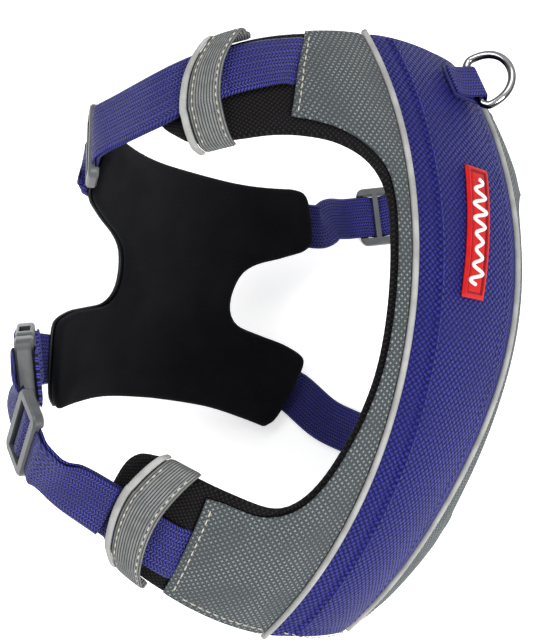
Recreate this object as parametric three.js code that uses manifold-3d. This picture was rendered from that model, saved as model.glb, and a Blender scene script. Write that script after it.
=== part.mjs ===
// A no-pull dog harness, lying on its side on a table: a padded back panel with four arms,
// four webbing straps with sliders, one side-release buckle and a padded chest plate.
// Millimetres, +Z up. +Y runs towards the neck, +X towards the dog's back.

import * as THREE from 'three';
import { mergeVertices } from 'three/addons/utils/BufferGeometryUtils.js';
import Module from 'manifold-3d';

const wasm = await Module();
wasm.setup();

// ---------------------------------------------------------------- driving dimensions

const SPINE_RADIUS = 206;     // back panel crest, seen from the side
const SECTION_DEPTH = 77;     // half depth of the body section, crest to centre
const SECTION_WIDTH = 112;    // half width of the body section
const SECTION_FLARE = 0.02;   // growth of the section per radian towards the neck
const LEAN = 0.728;           // radians that the crest leans away from level
const CENTRE = new THREE.Vector3(32.2, 12.2, 123.6);
const TABLE = new THREE.Vector3(5.93, -19.17, -4.45);   // middle of the footprint, on the table

const GAP = 0.3;
const WEBBING_WIDTH = 25;
const WEBBING_THICKNESS = 1.5;
const SPINE_HALF = 32.4;      // half width of the blue back panel
const PIPING_AT = 34.2;       // where the piping cords run
const PIPING_RADIUS = 1.5;
const LINER_LIFT = [-6.6, -0.8];
const SHELL_LIFT = [0, 1.6];
const CROWN = 2.2;            // puff of the back panel at its middle
const NECK_END = 104.5;       // ends of the back panel along the crest
const GIRTH_END = -196;

const CHEST_CENTRE = new THREE.Vector3(-52.4, 10.0, 53.3);
const CHEST_BOW = 24;         // rise of the plate at CHEST_REACH from its middle
const CHEST_REACH = 80;
const CHEST_AXES = new THREE.Matrix4().makeBasis(
  new THREE.Vector3(0.705, 0.009, -0.709),
  new THREE.Vector3(0.204, 0.955, 0.216),
  new THREE.Vector3(0.679, -0.297, 0.671),
);

const COLOURS = {
  blue: '#2b2a78', grey: '#5d6668', piping: '#b9bab6', black: '#0b0b0d',
  red: '#c4161c', white: '#f1f1ee', steel: '#b8bcc0', plastic: '#6c7072', dark: '#26282b',
};

// ---------------------------------------------------------------- geometry helpers

function signedVolume(geometry) {
  const p = geometry.attributes.position;
  const index = geometry.index.array;
  const [a, b, c] = [new THREE.Vector3(), new THREE.Vector3(), new THREE.Vector3()];
  let sum = 0;
  for (let i = 0; i < index.length; i += 3) {
    a.fromBufferAttribute(p, index[i]);
    b.fromBufferAttribute(p, index[i + 1]);
    c.fromBufferAttribute(p, index[i + 2]);
    sum += a.dot(b.cross(c)) / 6;
  }
  return sum;
}

// Merged vertices, with the faces pointing out.
function closed(source) {
  source.deleteAttribute('normal');
  source.deleteAttribute('uv');
  const geometry = mergeVertices(source, 1e-4);
  if (signedVolume(geometry) < 0) {
    const index = geometry.index.array;
    for (let i = 0; i < index.length; i += 3) [index[i], index[i + 1]] = [index[i + 1], index[i]];
  }
  geometry.computeVertexNormals();
  return geometry;
}

function toSolid(geometry) {
  const merged = closed(geometry.clone());
  return new wasm.Manifold(new wasm.Mesh({
    numProp: 3,
    vertProperties: new Float32Array(merged.attributes.position.array),
    triVerts: new Uint32Array(merged.index.array),
  }));
}

function fromSolid(solid) {
  const { vertProperties, triVerts } = solid.getMesh();
  const geometry = new THREE.BufferGeometry();
  geometry.setAttribute('position', new THREE.Float32BufferAttribute(vertProperties, 3));
  geometry.setIndex(Array.from(triVerts));
  geometry.computeVertexNormals();
  return geometry;
}

function box(x0, x1, y0, y1, z0, z1) {
  const geometry = new THREE.BoxGeometry(x1 - x0, y1 - y0, z1 - z0);
  return geometry.translate((x0 + x1) / 2, (y0 + y1) / 2, (z0 + z1) / 2);
}

function cut(geometry, ...cutters) {
  let solid = toSolid(geometry);
  for (const cutter of cutters) solid = solid.subtract(toSolid(cutter));
  return fromSolid(solid);
}

// A slab between two surfaces over a grid; at(u, v, side) gives the point, side 0 below, 1 above.
function slab(nu, nv, at) {
  const row = nv + 1;
  const layer = (nu + 1) * row;
  const points = [];
  for (const side of [0, 1]) {
    for (let i = 0; i <= nu; i++) {
      for (let j = 0; j <= nv; j++) points.push(...at(i / nu, j / nv, side).toArray());
    }
  }
  const faces = [];
  const quad = (a, b, c, d) => faces.push(a, b, c, a, c, d);
  const id = (i, j, side) => side * layer + i * row + j;
  for (let i = 0; i < nu; i++) {
    for (let j = 0; j < nv; j++) {
      quad(id(i, j, 1), id(i + 1, j, 1), id(i + 1, j + 1, 1), id(i, j + 1, 1));
      quad(id(i, j, 0), id(i, j + 1, 0), id(i + 1, j + 1, 0), id(i + 1, j, 0));
    }
    quad(id(i, 0, 0), id(i + 1, 0, 0), id(i + 1, 0, 1), id(i, 0, 1));
    quad(id(i, nv, 1), id(i + 1, nv, 1), id(i + 1, nv, 0), id(i, nv, 0));
  }
  for (let j = 0; j < nv; j++) {
    quad(id(0, j, 1), id(0, j + 1, 1), id(0, j + 1, 0), id(0, j, 0));
    quad(id(nu, j, 0), id(nu, j + 1, 0), id(nu, j + 1, 1), id(nu, j, 1));
  }
  const geometry = new THREE.BufferGeometry();
  geometry.setAttribute('position', new THREE.Float32BufferAttribute(points, 3));
  geometry.setIndex(faces);
  return closed(geometry);
}

// A round bar bent into a closed ring through the given points.
function ringBar(points, radius, sides) {
  const n = points.length;
  const up = new THREE.Vector3(0, 0, 1);
  const verts = [];
  points.forEach((p, i) => {
    const along = points[(i + 1) % n].clone().sub(points[(i + n - 1) % n]).normalize();
    const out = along.clone().cross(up).normalize();
    for (let k = 0; k < sides; k++) {
      const t = (2 * Math.PI * k) / sides;
      const q = p.clone().addScaledVector(out, radius * Math.cos(t));
      verts.push(...q.addScaledVector(up, radius * Math.sin(t)).toArray());
    }
  });
  const faces = [];
  for (let i = 0; i < n; i++) {
    for (let k = 0; k < sides; k++) {
      const [a, b] = [i * sides + k, i * sides + ((k + 1) % sides)];
      const [c, d] = [((i + 1) % n) * sides + k, ((i + 1) % n) * sides + ((k + 1) % sides)];
      faces.push(a, c, b, b, c, d);
    }
  }
  const geometry = new THREE.BufferGeometry();
  geometry.setAttribute('position', new THREE.Float32BufferAttribute(verts, 3));
  geometry.setIndex(faces);
  return closed(geometry);
}

// An outline from runs of points: each run is a smooth curve, and runs meet at corners.
function outline(runs, spacing) {
  const points = [];
  runs.forEach((run, i) => {
    const next = runs[(i + 1) % runs.length][0];
    const curve = new THREE.SplineCurve([...run, next].map(([x, y]) => new THREE.Vector2(x, y)));
    const n = Math.max(1, Math.round(curve.getLength() / spacing));
    points.push(...curve.getSpacedPoints(n).slice(0, n));
  });
  return points;
}

// Triangles over a set of points in the plane, each point added in turn (Bowyer and Watson).
function triangulate(points) {
  const far = 1e4;
  const all = [...points, [-far, -far], [far, -far], [0, far]];
  const circle = (a, b, c) => {
    const [[ax, ay], [bx, by], [cx, cy]] = [all[a], all[b], all[c]];
    const d = 2 * (ax * (by - cy) + bx * (cy - ay) + cx * (ay - by));
    const [a2, b2, c2] = [ax * ax + ay * ay, bx * bx + by * by, cx * cx + cy * cy];
    const x = (a2 * (by - cy) + b2 * (cy - ay) + c2 * (ay - by)) / d;
    const y = (a2 * (cx - bx) + b2 * (ax - cx) + c2 * (bx - ax)) / d;
    return { ids: [a, b, c], x, y, r2: (ax - x) ** 2 + (ay - y) ** 2 };
  };
  const n = points.length;
  let cells = [circle(n, n + 1, n + 2)];
  points.forEach(([px, py], i) => {
    const rim = new Map();
    cells = cells.filter((cell) => {
      if ((px - cell.x) ** 2 + (py - cell.y) ** 2 > cell.r2) return true;
      for (const [a, b] of [[0, 1], [1, 2], [2, 0]].map(([p, q]) => [cell.ids[p], cell.ids[q]])) {
        if (!rim.delete(`${b},${a}`)) rim.set(`${a},${b}`, [a, b]);
      }
      return false;
    });
    for (const [a, b] of rim.values()) cells.push(circle(a, b, i));
  });
  return cells.map((cell) => cell.ids).filter((ids) => ids.every((id) => id < n));
}

function inside(points, x, y) {
  let odd = false;
  points.forEach((p, i) => {
    const q = points[(i + 1) % points.length];
    if ((p.y > y) !== (q.y > y) && x < p.x + ((y - p.y) * (q.x - p.x)) / (q.y - p.y)) odd = !odd;
  });
  return odd;
}

// A flat outline filled with even triangles, given thickness and bent with place(x, y, z).
function bentSheet(rim, low, high, spacing, place) {
  const points = rim.map((p, i) => [p.x + 1e-4 * Math.sin(i), p.y + 1e-4 * Math.cos(3 * i)]);
  const xs = rim.map((p) => p.x);
  const ys = rim.map((p) => p.y);
  const clear = (x, y) => rim.every((p) => Math.hypot(p.x - x, p.y - y) > spacing * 0.62);
  let odd = 0;
  for (let y = Math.min(...ys) + spacing / 2; y < Math.max(...ys); y += spacing * 0.87) {
    odd = 0.5 - odd;
    for (let x = Math.min(...xs) + spacing * odd; x < Math.max(...xs); x += spacing) {
      if (inside(rim, x, y) && clear(x, y)) points.push([x + 1e-3 * Math.sin(x * y), y]);
    }
  }
  const n = points.length;
  const cells = triangulate(points).filter(([a, b, c]) => inside(
    rim, (points[a][0] + points[b][0] + points[c][0]) / 3, (points[a][1] + points[b][1] + points[c][1]) / 3));
  const faces = [];
  const rimEdges = new Map();
  for (const [a, b, c] of cells) {
    faces.push(a + n, b + n, c + n, a, c, b);
    for (const [p, q] of [[a, b], [b, c], [c, a]]) {
      if (!rimEdges.delete(`${q},${p}`)) rimEdges.set(`${p},${q}`, [p, q]);
    }
  }
  for (const [p, q] of rimEdges.values()) faces.push(p, q, q + n, p, q + n, p + n);
  const verts = [low, high].flatMap((z) => points.flatMap(([x, y]) => place(x, y, z).toArray()));
  const geometry = new THREE.BufferGeometry();
  geometry.setAttribute('position', new THREE.Float32BufferAttribute(verts, 3));
  geometry.setIndex(faces);
  return closed(geometry);
}

// ---------------------------------------------------------------- the body form

// Ellipse angle for an arc length from the crest of the body section.
const SECTION_STEPS = 400;
const SECTION_ARCS = [0];
for (let i = 1; i <= SECTION_STEPS; i++) {
  const t = ((i - 0.5) / SECTION_STEPS) * Math.PI * 1.2;
  const speed = Math.hypot(SECTION_DEPTH * Math.sin(t), SECTION_WIDTH * Math.cos(t));
  SECTION_ARCS.push(SECTION_ARCS[i - 1] + (speed * Math.PI * 1.2) / SECTION_STEPS);
}

function sectionAngle(arc) {
  const length = Math.min(Math.abs(arc), SECTION_ARCS[SECTION_STEPS]);
  let i = 1;
  while (SECTION_ARCS[i] < length) i++;
  const part = (length - SECTION_ARCS[i - 1]) / (SECTION_ARCS[i] - SECTION_ARCS[i - 1]);
  return (Math.sign(arc) * (i - 1 + part) * Math.PI * 1.2) / SECTION_STEPS;
}

// The side that lies down spreads outwards towards the neck and inwards towards the girth.
const SETTLE = { most: 7, turn: -75, blend: 60 };

function settle(s, a) {
  const begins = THREE.MathUtils.smoothstep(-a, -15, 35);
  const ends = 1 - THREE.MathUtils.smoothstep(-a, 70, 130);
  return SETTLE.most * Math.tanh((s - SETTLE.turn) / SETTLE.blend) * begins * ends;
}

// Back panel surface: s along the crest, a round the body (near side +), lift off the surface.
function bodyPoint(s, a, lift) {
  const psi = s / SPINE_RADIUS;
  const k = 1 + SECTION_FLARE * psi;
  const t = sectionAngle(a / k);
  const side = (SECTION_WIDTH * k + lift) * Math.sin(t);
  const radius = SPINE_RADIUS - SECTION_DEPTH + (SECTION_DEPTH * k + lift) * Math.cos(t);
  const up = radius * Math.cos(psi) - (SPINE_RADIUS - SECTION_DEPTH);
  return new THREE.Vector3(
    up * Math.cos(LEAN) - side * Math.sin(LEAN) + settle(s, a),
    radius * Math.sin(psi),
    up * Math.sin(LEAN) + side * Math.cos(LEAN),
  ).add(CENTRE);
}

function bodyNormal(s, a) {
  return bodyPoint(s, a, 5).sub(bodyPoint(s, a, 0)).normalize();
}

// The arms: x along the arm, y across it, on the side given by sign.
// Lines across an arm bow by skew and bend, because the arms turn towards the dog's front.
const NECK_ARM = { s: 85, skew: -0.5, bend: [-0.012, -0.027], keeper: [107, 121], edges: [48.6, 106] };
const GIRTH_ARM = { s: -171, skew: 0.25, bend: [-0.011, -0.011], keeper: [106, 121], edges: [-198.5, -132] };
const ARM_SPREAD = 1.36;      // crest length per millimetre across an arm

function armPoint(arm, sign, x, y, lift) {
  const bend = arm.bend[y > 0 ? 1 : 0];
  return bodyPoint(arm.s + ARM_SPREAD * y, sign * (x + arm.skew * y + bend * y * y), lift);
}

// Chest plate: l across (near side +), m towards the neck, h off its inner face.
function chestPoint(l, m, h) {
  const slope = (-2 * CHEST_BOW * l) / CHEST_REACH ** 2;
  const tilt = Math.hypot(slope, 1);
  const bow = CHEST_BOW * (l / CHEST_REACH) ** 2;
  const local = new THREE.Vector3(-l + (slope * h) / tilt * -1, m, bow + h / tilt);
  return local.applyMatrix4(CHEST_AXES).add(CHEST_CENTRE);
}

function chestOut(l, m) {
  return chestPoint(l, m, -5).sub(chestPoint(l, m, 0)).normalize();
}

// ---------------------------------------------------------------- back panel

// The liner is butted from five parts: a waist, and one corner with its arm at each end of each side.
const LINER_JOIN = 0.15;      // half the gap between two parts

const LINER_NECK = [
  [[LINER_JOIN, 17 + LINER_JOIN]],
  [[LINER_JOIN, 109], [20, 108.4], [60, 106.5], [100, 106]],
  [[130, 104], [140, 98], [144.5, 87], [142.5, 72]],
  [[134, 57], [125, 50.5], [109, 48.6], [95, 48.2], [82, 46.5], [68, 43], [56, 36.5], [49, 28]],
  [[45.8, 17 + LINER_JOIN]],
];
const LINER_WAIST_SIDE = [[45.8, 17 - LINER_JOIN], [45.2, 0], [45.2, -50], [47.5, -76], [51.5, LINER_JOIN - 98]];
const LINER_GIRTH = [
  [[51.5, -98 - LINER_JOIN], [56, -115], [62, -126], [71, -131.5], [90, -132], [110, -132]],
  [[124, -132], [132, -137], [136, -146], [136.5, -160], [134, -180], [128, -193]],
  [[118, -199], [90, -198.5], [60, -198.2]],
  [[LINER_JOIN, -198.2]],
  [[LINER_JOIN, -98 - LINER_JOIN]],
];

function linerCorner(half, sign) {
  const bend = (a, s, lift) => bodyPoint(s, sign * a, lift);
  return bentSheet(outline(half, 10), ...LINER_LIFT, 13, bend);
}

function linerWaist() {
  const far = LINER_WAIST_SIDE.map(([a, s]) => [-a, s]).reverse();
  const straight = (side) => [side.slice(0, -1), side.slice(-1)];
  const rim = outline([...straight(LINER_WAIST_SIDE), ...straight(far)], 10);
  return bentSheet(rim, ...LINER_LIFT, 13, (a, s, lift) => bodyPoint(s, a, lift));
}

const SHELL_OUTLINE = [
  [[35.9, GIRTH_END], [60, -195.6]],
  [[88.5, -194.5], [93, -165]],
  [[96.5, -136.5], [88, -135.2], [74, -135], [64, -130.5], [57.5, -123], [53, -112], [49.5, -97], [45.5, -75],
    [43, -50], [42.6, 0], [43.2, 18], [46, 30], [53, 38.8], [64, 46.2], [76, 50.8]],
  [[86, 53.5], [77, 80]],
  [[66.5, 102.5], [50, 103.5]],
  [[35.9, 104.2]],
];

function sidePanel(sign) {
  const bend = (a, s, lift) => bodyPoint(s, sign * a, lift);
  return bentSheet(outline(SHELL_OUTLINE, 10), ...SHELL_LIFT, 13, bend);
}

// Both ends of the back panel bow a little: the neck end outwards, the girth end inwards.
function endBow(a) {
  return 1 - (a / SPINE_HALF) ** 2;
}

function crownLift(a) {
  return SHELL_LIFT[1] + CROWN * (1 - (a / SPINE_HALF) ** 4);
}

function spinePanel() {
  return slab(36, 8, (u, v, side) => {
    const a = SPINE_HALF * (2 * v - 1);
    const [start, end] = [GIRTH_END + 2.5 * endBow(a), NECK_END + 3.5 * endBow(a)];
    const s = start + (end - start) * u;
    return bodyPoint(s, a, side ? crownLift(a) : 0);
  });
}

function piping(sign) {
  const points = [];
  for (let i = 0; i <= 20; i++) {
    points.push(bodyPoint(GIRTH_END - 1 + (NECK_END + 1 - GIRTH_END) * (i / 20), sign * PIPING_AT, PIPING_RADIUS + 0.1));
  }
  const cord = new THREE.Shape().absarc(0, 0, PIPING_RADIUS, 0, 2 * Math.PI);
  const options = { extrudePath: new THREE.CatmullRomCurve3(points), steps: 40, curveSegments: 3, bevelEnabled: false };
  return closed(new THREE.ExtrudeGeometry(cord, options));
}

// An elastic band over an arm: it climbs over the webbing and turns down round the liner's edges.
const KEEPER_THICKNESS = 1.2;
const KEEPER_RISE = 4.4;

function keeper(arm, sign, x0, x1, extra) {
  const [low, high] = arm.edges;
  const toY = (s) => (s - arm.s) / ARM_SPREAD;
  const [y0, y1] = [toY(low) - 1.2, toY(high) + 1.2];
  const half = WEBBING_WIDTH / 2;
  const profile = [
    [y0, -5.2], [y0, -1.4], [y0 + 1.4, 0.4], [-half - 2.4, KEEPER_RISE - 1], [-half, KEEPER_RISE],
    [0, KEEPER_RISE + 0.3], [half, KEEPER_RISE], [half + 2.4, KEEPER_RISE - 1], [y1 - 1.4, 0.4], [y1, -1.4], [y1, -5.2],
  ].filter(([y], i, all) => i === 0 || i === all.length - 1 || (y >= y0 && y <= y1));
  profile.sort((p, q) => p[0] - q[0] || (p[0] < 0 ? p[1] - q[1] : q[1] - p[1]));
  const path = new THREE.SplineCurve(profile.map(([y, h]) => new THREE.Vector2(y, h)));
  return slab(extra ? 1 : 3, 24, (u, v, side) => {
    const p = path.getPoint(v);
    const along = path.getTangent(v);
    const off = side ? KEEPER_THICKNESS + extra : 0;
    return armPoint(arm, sign, x0 + (x1 - x0) * u, p.x - along.y * off, p.y + along.x * off);
  });
}

// ---------------------------------------------------------------- webbing

// Stations along a strap: position on its inner face, outward normal, direction and width axis.
class Strap {
  constructor(controls) {
    const curve = new THREE.CatmullRomCurve3(controls.map((c) => c.p), false, 'centripetal');
    this.dense = [];
    let length = 0;
    const last = controls.length - 1;
    for (let i = 0; i < last; i++) {
      for (let k = 0; k < 40; k++) this.addStation(curve, controls, i, k / 40);
    }
    this.addStation(curve, controls, last - 1, 1);
    this.dense.forEach((st, i) => {
      if (i) length += st.p.distanceTo(this.dense[i - 1].p);
      st.s = length;
    });
    this.length = length;
    for (let pass = 0; pass < 2; pass++) this.easeTwist();
    const bar = controls.findIndex((c) => c.bar);
    this.weave = bar < 0 ? null : this.dense[bar * 40].s;
  }

  addStation(curve, controls, i, part) {
    const t = (i + part) / (controls.length - 1);
    const along = curve.getTangent(t);
    const normal = controls[i].n.clone().lerp(controls[i + 1].n, part);
    normal.addScaledVector(along, -normal.dot(along)).normalize();
    this.dense.push({ p: curve.getPoint(t), n: normal, t: along, w: along.clone().cross(normal) });
  }

  // Averages the width axis over a short run each way, so that the strap twists evenly.
  easeTwist() {
    const widths = this.dense.map((st) => {
      const near = this.dense.filter((other) => Math.abs(other.s - st.s) < 3.4);
      return near.reduce((sum, other) => sum.add(other.w), new THREE.Vector3());
    });
    this.dense.forEach((st, i) => {
      st.w = widths[i].addScaledVector(st.t, -widths[i].dot(st.t)).normalize();
      st.n = st.w.clone().cross(st.t);
    });
  }

  at(s) {
    let i = 1;
    while (i < this.dense.length - 1 && this.dense[i].s < s) i++;
    const [a, b] = [this.dense[i - 1], this.dense[i]];
    const part = (s - a.s) / (b.s - a.s);
    const mix = (key) => a[key].clone().lerp(b[key], part);
    return { p: mix('p'), n: mix('n').normalize(), t: mix('t').normalize(), w: mix('w').normalize() };
  }

  // A station every so often, and sooner where the strap turns or climbs over a slider's bar.
  stations(from, to, spacing) {
    const list = [from];
    let last = this.at(from);
    for (const st of this.dense) {
      const gone = st.s - list[list.length - 1];
      if (gone < 0.9 || st.s > to - 0.9) continue;
      const close = this.weave !== null && Math.abs(st.s - this.weave) < 9;
      if (gone < (close ? 1.5 : spacing) && st.t.angleTo(last.t) < 0.25) continue;
      list.push(st.s);
      last = st;
    }
    return [...list, to];
  }
}

const WEAVE_RISE = 2.8;

function weaveLift(distance) {
  const part = THREE.MathUtils.clamp((6.2 - Math.abs(distance)) / 4.2, 0, 1);
  return WEAVE_RISE * part;
}

function ribbon(strap, list, lift = 0, skew = 0) {
  const n = list.length - 1;
  return slab(n, 2, (u, v, side) => {
    const s = list[Math.round(u * n)];
    const st = strap.at(s);
    const across = WEBBING_WIDTH * (v - 0.5);
    const rise = lift + (strap.weave === null || lift ? 0 : weaveLift(s - strap.weave));
    const push = skew * across * Math.max(0, 1 - (s - list[0]) / 20);
    return st.p.clone().addScaledVector(st.w, across).addScaledVector(st.t, push)
      .addScaledVector(st.n, rise + side * WEBBING_THICKNESS);
  });
}

function frameMatrix(p, across, along, out) {
  return new THREE.Matrix4().makeBasis(across, along, out).setPosition(p);
}

const vec = (x, y, z) => new THREE.Vector3(x, y, z);
const free = (x, y, z, nx, ny, nz) => ({ p: vec(x, y, z), n: vec(nx, ny, nz).normalize() });
const onArm = (arm, sign, x, s = arm.s) => ({ p: bodyPoint(s, sign * x, GAP), n: bodyNormal(s, sign * x) });
const CHEST_SKIN = [-7.1, -5.6];
const CHEST_STRAP = CHEST_SKIN[0] - GAP;

// Webbing sewn down the outer face of the chest plate, from one of its tips inwards.
function onChest(sign, from, to, m0, m1) {
  return Array.from({ length: 7 }, (_, i) => {
    const [l, m] = [sign * (from + ((to - from) * i) / 6), m0 + ((m1 - m0) * i) / 6];
    return { p: chestPoint(l, m, CHEST_STRAP), n: chestOut(l, m) };
  });
}

// The run through a slider is straight; the slider's middle bar sits under the point p.
function straightThrough(p, along, n) {
  const flat = n.clone().addScaledVector(along, -n.dot(along)).normalize();
  return [-18, -12.5, 0, 12.5, 18].map((d) => ({ p: p.clone().addScaledVector(along, d), n: flat, bar: d === 0 }));
}

// Side-release buckle: it hangs down above the chest plate's near arm.
const BUCKLE_AT = vec(-106, -34, 153);
const buckleAlong = vec(-0.2, 0.36, -0.91).normalize();
const buckleAcross = buckleAlong.clone().cross(vec(-1, -0.05, 0)).normalize();
const buckleOut = buckleAcross.clone().cross(buckleAlong);
const BUCKLE_FRAME = frameMatrix(BUCKLE_AT, buckleAcross, buckleAlong, buckleOut);
const BUCKLE_WIDTH = 33;
const BUCKLE_HALF = 23;
const BUCKLE_DEPTH = 8.2;
const BAR = 4;                // width of the webbing bar at each end
const FOLD_HEIGHT = BUCKLE_DEPTH / 2 + 0.4;

function onBuckle(y, z, ny, nz) {
  const n = buckleAlong.clone().multiplyScalar(ny).addScaledVector(buckleOut, nz);
  return { p: vec(0, y, z).applyMatrix4(BUCKLE_FRAME), n };
}

// Webbing folded round the bar at one end of the buckle, its inner leg reaching back to y = leg.
function foldRoundBar(end, leg) {
  const turn = BUCKLE_HALF - BAR - 0.9;
  return [
    [turn + 5.5, FOLD_HEIGHT, 0, 1], [turn + 3, FOLD_HEIGHT, 0, 1], [turn + 1.2, FOLD_HEIGHT, 0, 1],
    [turn + 0.2, 4, -0.7, 0.7], [turn, 3, -1, 0], [turn, -3, -1, 0], [turn + 0.2, -4, -0.7, -0.7],
    [turn + 1.2, -FOLD_HEIGHT, 0, -1], [turn + 3, -FOLD_HEIGHT, 0, -1], [leg, -FOLD_HEIGHT, 0, -1],
  ].map(([y, z, ny, nz]) => onBuckle(end * y, z, end * ny, nz));
}

const girthFar = bodyPoint(-167, -158, GAP);
const girthFarAlong = bodyPoint(-166.5, -159, GAP).sub(bodyPoint(-167.5, -157, GAP)).normalize();

const STRAPS = {
  neck_near: new Strap([
    onArm(NECK_ARM, 1, 75), onArm(NECK_ARM, 1, 90), onArm(NECK_ARM, 1, 107), onArm(NECK_ARM, 1, 125),
    onArm(NECK_ARM, 1, 137, 86), free(-60, 67, 192.5, -0.72, 0.08, 0.69),
    ...straightThrough(vec(-75, 65.5, 165), vec(-0.24, 0, -0.97).normalize(), vec(-0.97, 0, 0.24)),
    free(-85.5, 67, 139, -0.95, -0.1, 0.1), ...onChest(1, 79, 30, 65, 56),
  ]),
  neck_far: new Strap([
    onArm(NECK_ARM, -1, 75), onArm(NECK_ARM, -1, 90), onArm(NECK_ARM, -1, 107), onArm(NECK_ARM, -1, 125),
    onArm(NECK_ARM, -1, 143, 88), free(90, 78, 16, 0.5, 0.1, -0.86),
    ...straightThrough(vec(64, 80, 0.8), vec(-1, -0.1, 0).normalize(), vec(0, 0, -1)),
    free(37, 75.5, 9.5, -0.35, 0.1, -0.9), ...onChest(-1, 79, 30, 65, 56),
  ]),
  girth_near: new Strap([
    onArm(GIRTH_ARM, 1, 93), onArm(GIRTH_ARM, 1, 107, -172), onArm(GIRTH_ARM, 1, 125, -174),
    free(-79, -88, 187.5, -0.6, -0.18, 0.78),
    ...straightThrough(vec(-97, -67, 183), vec(-0.42, 0.76, -0.49).normalize(), vec(-0.86, -0.07, 0.49)),
    ...foldRoundBar(-1, 30),
  ]),
  girth_far: new Strap([
    onArm(GIRTH_ARM, -1, 93), onArm(GIRTH_ARM, -1, 107), onArm(GIRTH_ARM, -1, 121, -170),
    ...straightThrough(girthFar, girthFarAlong, bodyNormal(-167, -158)),
    free(32, -42, 0.3, 0.1, 0, -1), ...onChest(-1, 80, 32, -32, -27),
  ]),
};

const MAIN_SKEW = { neck: -0.56, girth: 0.22 };
const SLIDER_HALF = 11;

const mainStations = (strap) => strap.stations(2.4, strap.length, 5.5);

function mainStrap(name) {
  const strap = STRAPS[name];
  const near = name.endsWith('near') ? 1 : -1;
  const arm = name.startsWith('neck') ? 'neck' : 'girth';
  return ribbon(strap, mainStations(strap), 0, near * MAIN_SKEW[arm]);
}

// The strap's free end, turned back from the slider and tucked under the keeper.
function tailStrap(name) {
  const strap = STRAPS[name];
  const [from, to] = [34, strap.weave - SLIDER_HALF - 0.4];
  const between = mainStations(strap).filter((s) => s > from + 1 && s < to - 1);
  return ribbon(strap, [from, ...between, to], WEBBING_THICKNESS + 0.5);
}

// ---------------------------------------------------------------- hardware

function roundedPlate(width, length, corner, depth, bevel) {
  const [w, l] = [width / 2 - bevel, length / 2 - bevel];
  const shape = new THREE.Shape();
  shape.moveTo(-w + corner, -l);
  shape.lineTo(w - corner, -l);
  shape.absarc(w - corner, -l + corner, corner, -Math.PI / 2, 0);
  shape.absarc(w - corner, l - corner, corner, 0, Math.PI / 2);
  shape.absarc(-w + corner, l - corner, corner, Math.PI / 2, Math.PI);
  shape.absarc(-w + corner, -l + corner, corner, Math.PI, 1.5 * Math.PI);
  const options = { depth: depth - 2 * bevel, bevelThickness: bevel, bevelSize: bevel, bevelSegments: 1, curveSegments: 3 };
  return new THREE.ExtrudeGeometry(shape, options).translate(0, 0, bevel);
}

const SLIDER_WIDTH = 35;
const SLIDER_LENGTH = 2 * SLIDER_HALF;
const SLOT_HALF = WEBBING_WIDTH / 2 + 0.8;

function sliderBody() {
  const frame = roundedPlate(SLIDER_WIDTH, SLIDER_LENGTH, 3.5, 4.8, 0.9).translate(0, 0, -0.2);
  const slots = [1, -1].map((k) => box(-SLOT_HALF, SLOT_HALF, Math.min(1.5 * k, 6.4 * k), Math.max(1.5 * k, 6.4 * k), -1, 6));
  const under = [1, -1].map((k) => box(-SLOT_HALF, SLOT_HALF, Math.min(1.5 * k, 12 * k), Math.max(1.5 * k, 12 * k), -1, 1.8));
  return cut(frame, ...slots, ...under, box(-SLOT_HALF, SLOT_HALF, -2, 2, 2.5, 6));
}

function sliderOn(name) {
  const st = STRAPS[name].at(STRAPS[name].weave);
  return sliderBody().applyMatrix4(frameMatrix(st.p, st.w, st.t, st.n));
}

// D-shaped ring in its own frame: the bar lies on the y axis and the bow reaches out along +x.
function dRing(half, reach, wire) {
  const points = [];
  for (let i = 0; i <= 4; i++) points.push(vec(0, -half + 2.5 + ((2 * half - 5) * i) / 4, 0));
  for (let i = 0; i <= 16; i++) {
    const t = Math.PI * (0.5 - i / 16);
    points.push(vec(2.5 + (reach - 2.5) * Math.cos(t) ** 0.8, half * Math.sin(t), 0));
  }
  return ringBar(points, wire / 2, 8);
}

// A webbing loop sewn down at x = 0 and folded round a bar at x = reach.
function ringTab(width, reach, barHeight) {
  const radius = 3;
  const path = [[0, 1.1], [reach * 0.55, 1.1]];
  for (let i = 0; i <= 8; i++) {
    const t = -Math.PI / 2 + (Math.PI * i) / 8;
    path.push([reach + radius * Math.cos(t), barHeight + radius * Math.sin(t)]);
  }
  path.push([reach * 0.45, 3.6], [0, 2.95]);
  const curve = new THREE.CatmullRomCurve3(path.map(([x, z]) => vec(x, 0, z)), false, 'centripetal');
  return slab(26, 1, (u, v, side) => {
    const along = curve.getTangent(u);
    const out = vec(along.z, 0, -along.x);
    return curve.getPoint(u).addScaledVector(out, (side - 0.5) * WEBBING_THICKNESS).add(vec(0, width * (v - 0.5), 0));
  });
}

const RING_WIRE = 3.8;
const RING_HALF = 14;
const RING_REACH = 18;
const TAB_WIDTH = 19;
const TAB_REACH = 15;
const BAR_HEIGHT = 4.3;

// Back ring: sewn beside the middle of the back panel, its bar along the dog's spine.
const BACK_TAB = { s: 84, a: -4 };
const backLift = crownLift(BACK_TAB.a) + GAP;
const backOrigin = bodyPoint(BACK_TAB.s, BACK_TAB.a, backLift);
const backAlong = bodyPoint(BACK_TAB.s, BACK_TAB.a - 12, backLift).sub(bodyPoint(BACK_TAB.s, BACK_TAB.a + 4, backLift)).normalize();
const backNormal = bodyNormal(BACK_TAB.s, BACK_TAB.a - 4);
backNormal.addScaledVector(backAlong, -backNormal.dot(backAlong)).normalize();
const backAcross = backNormal.clone().cross(backAlong);
const BACK_FRAME = frameMatrix(backOrigin, backAlong, backAcross, backNormal);

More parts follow.
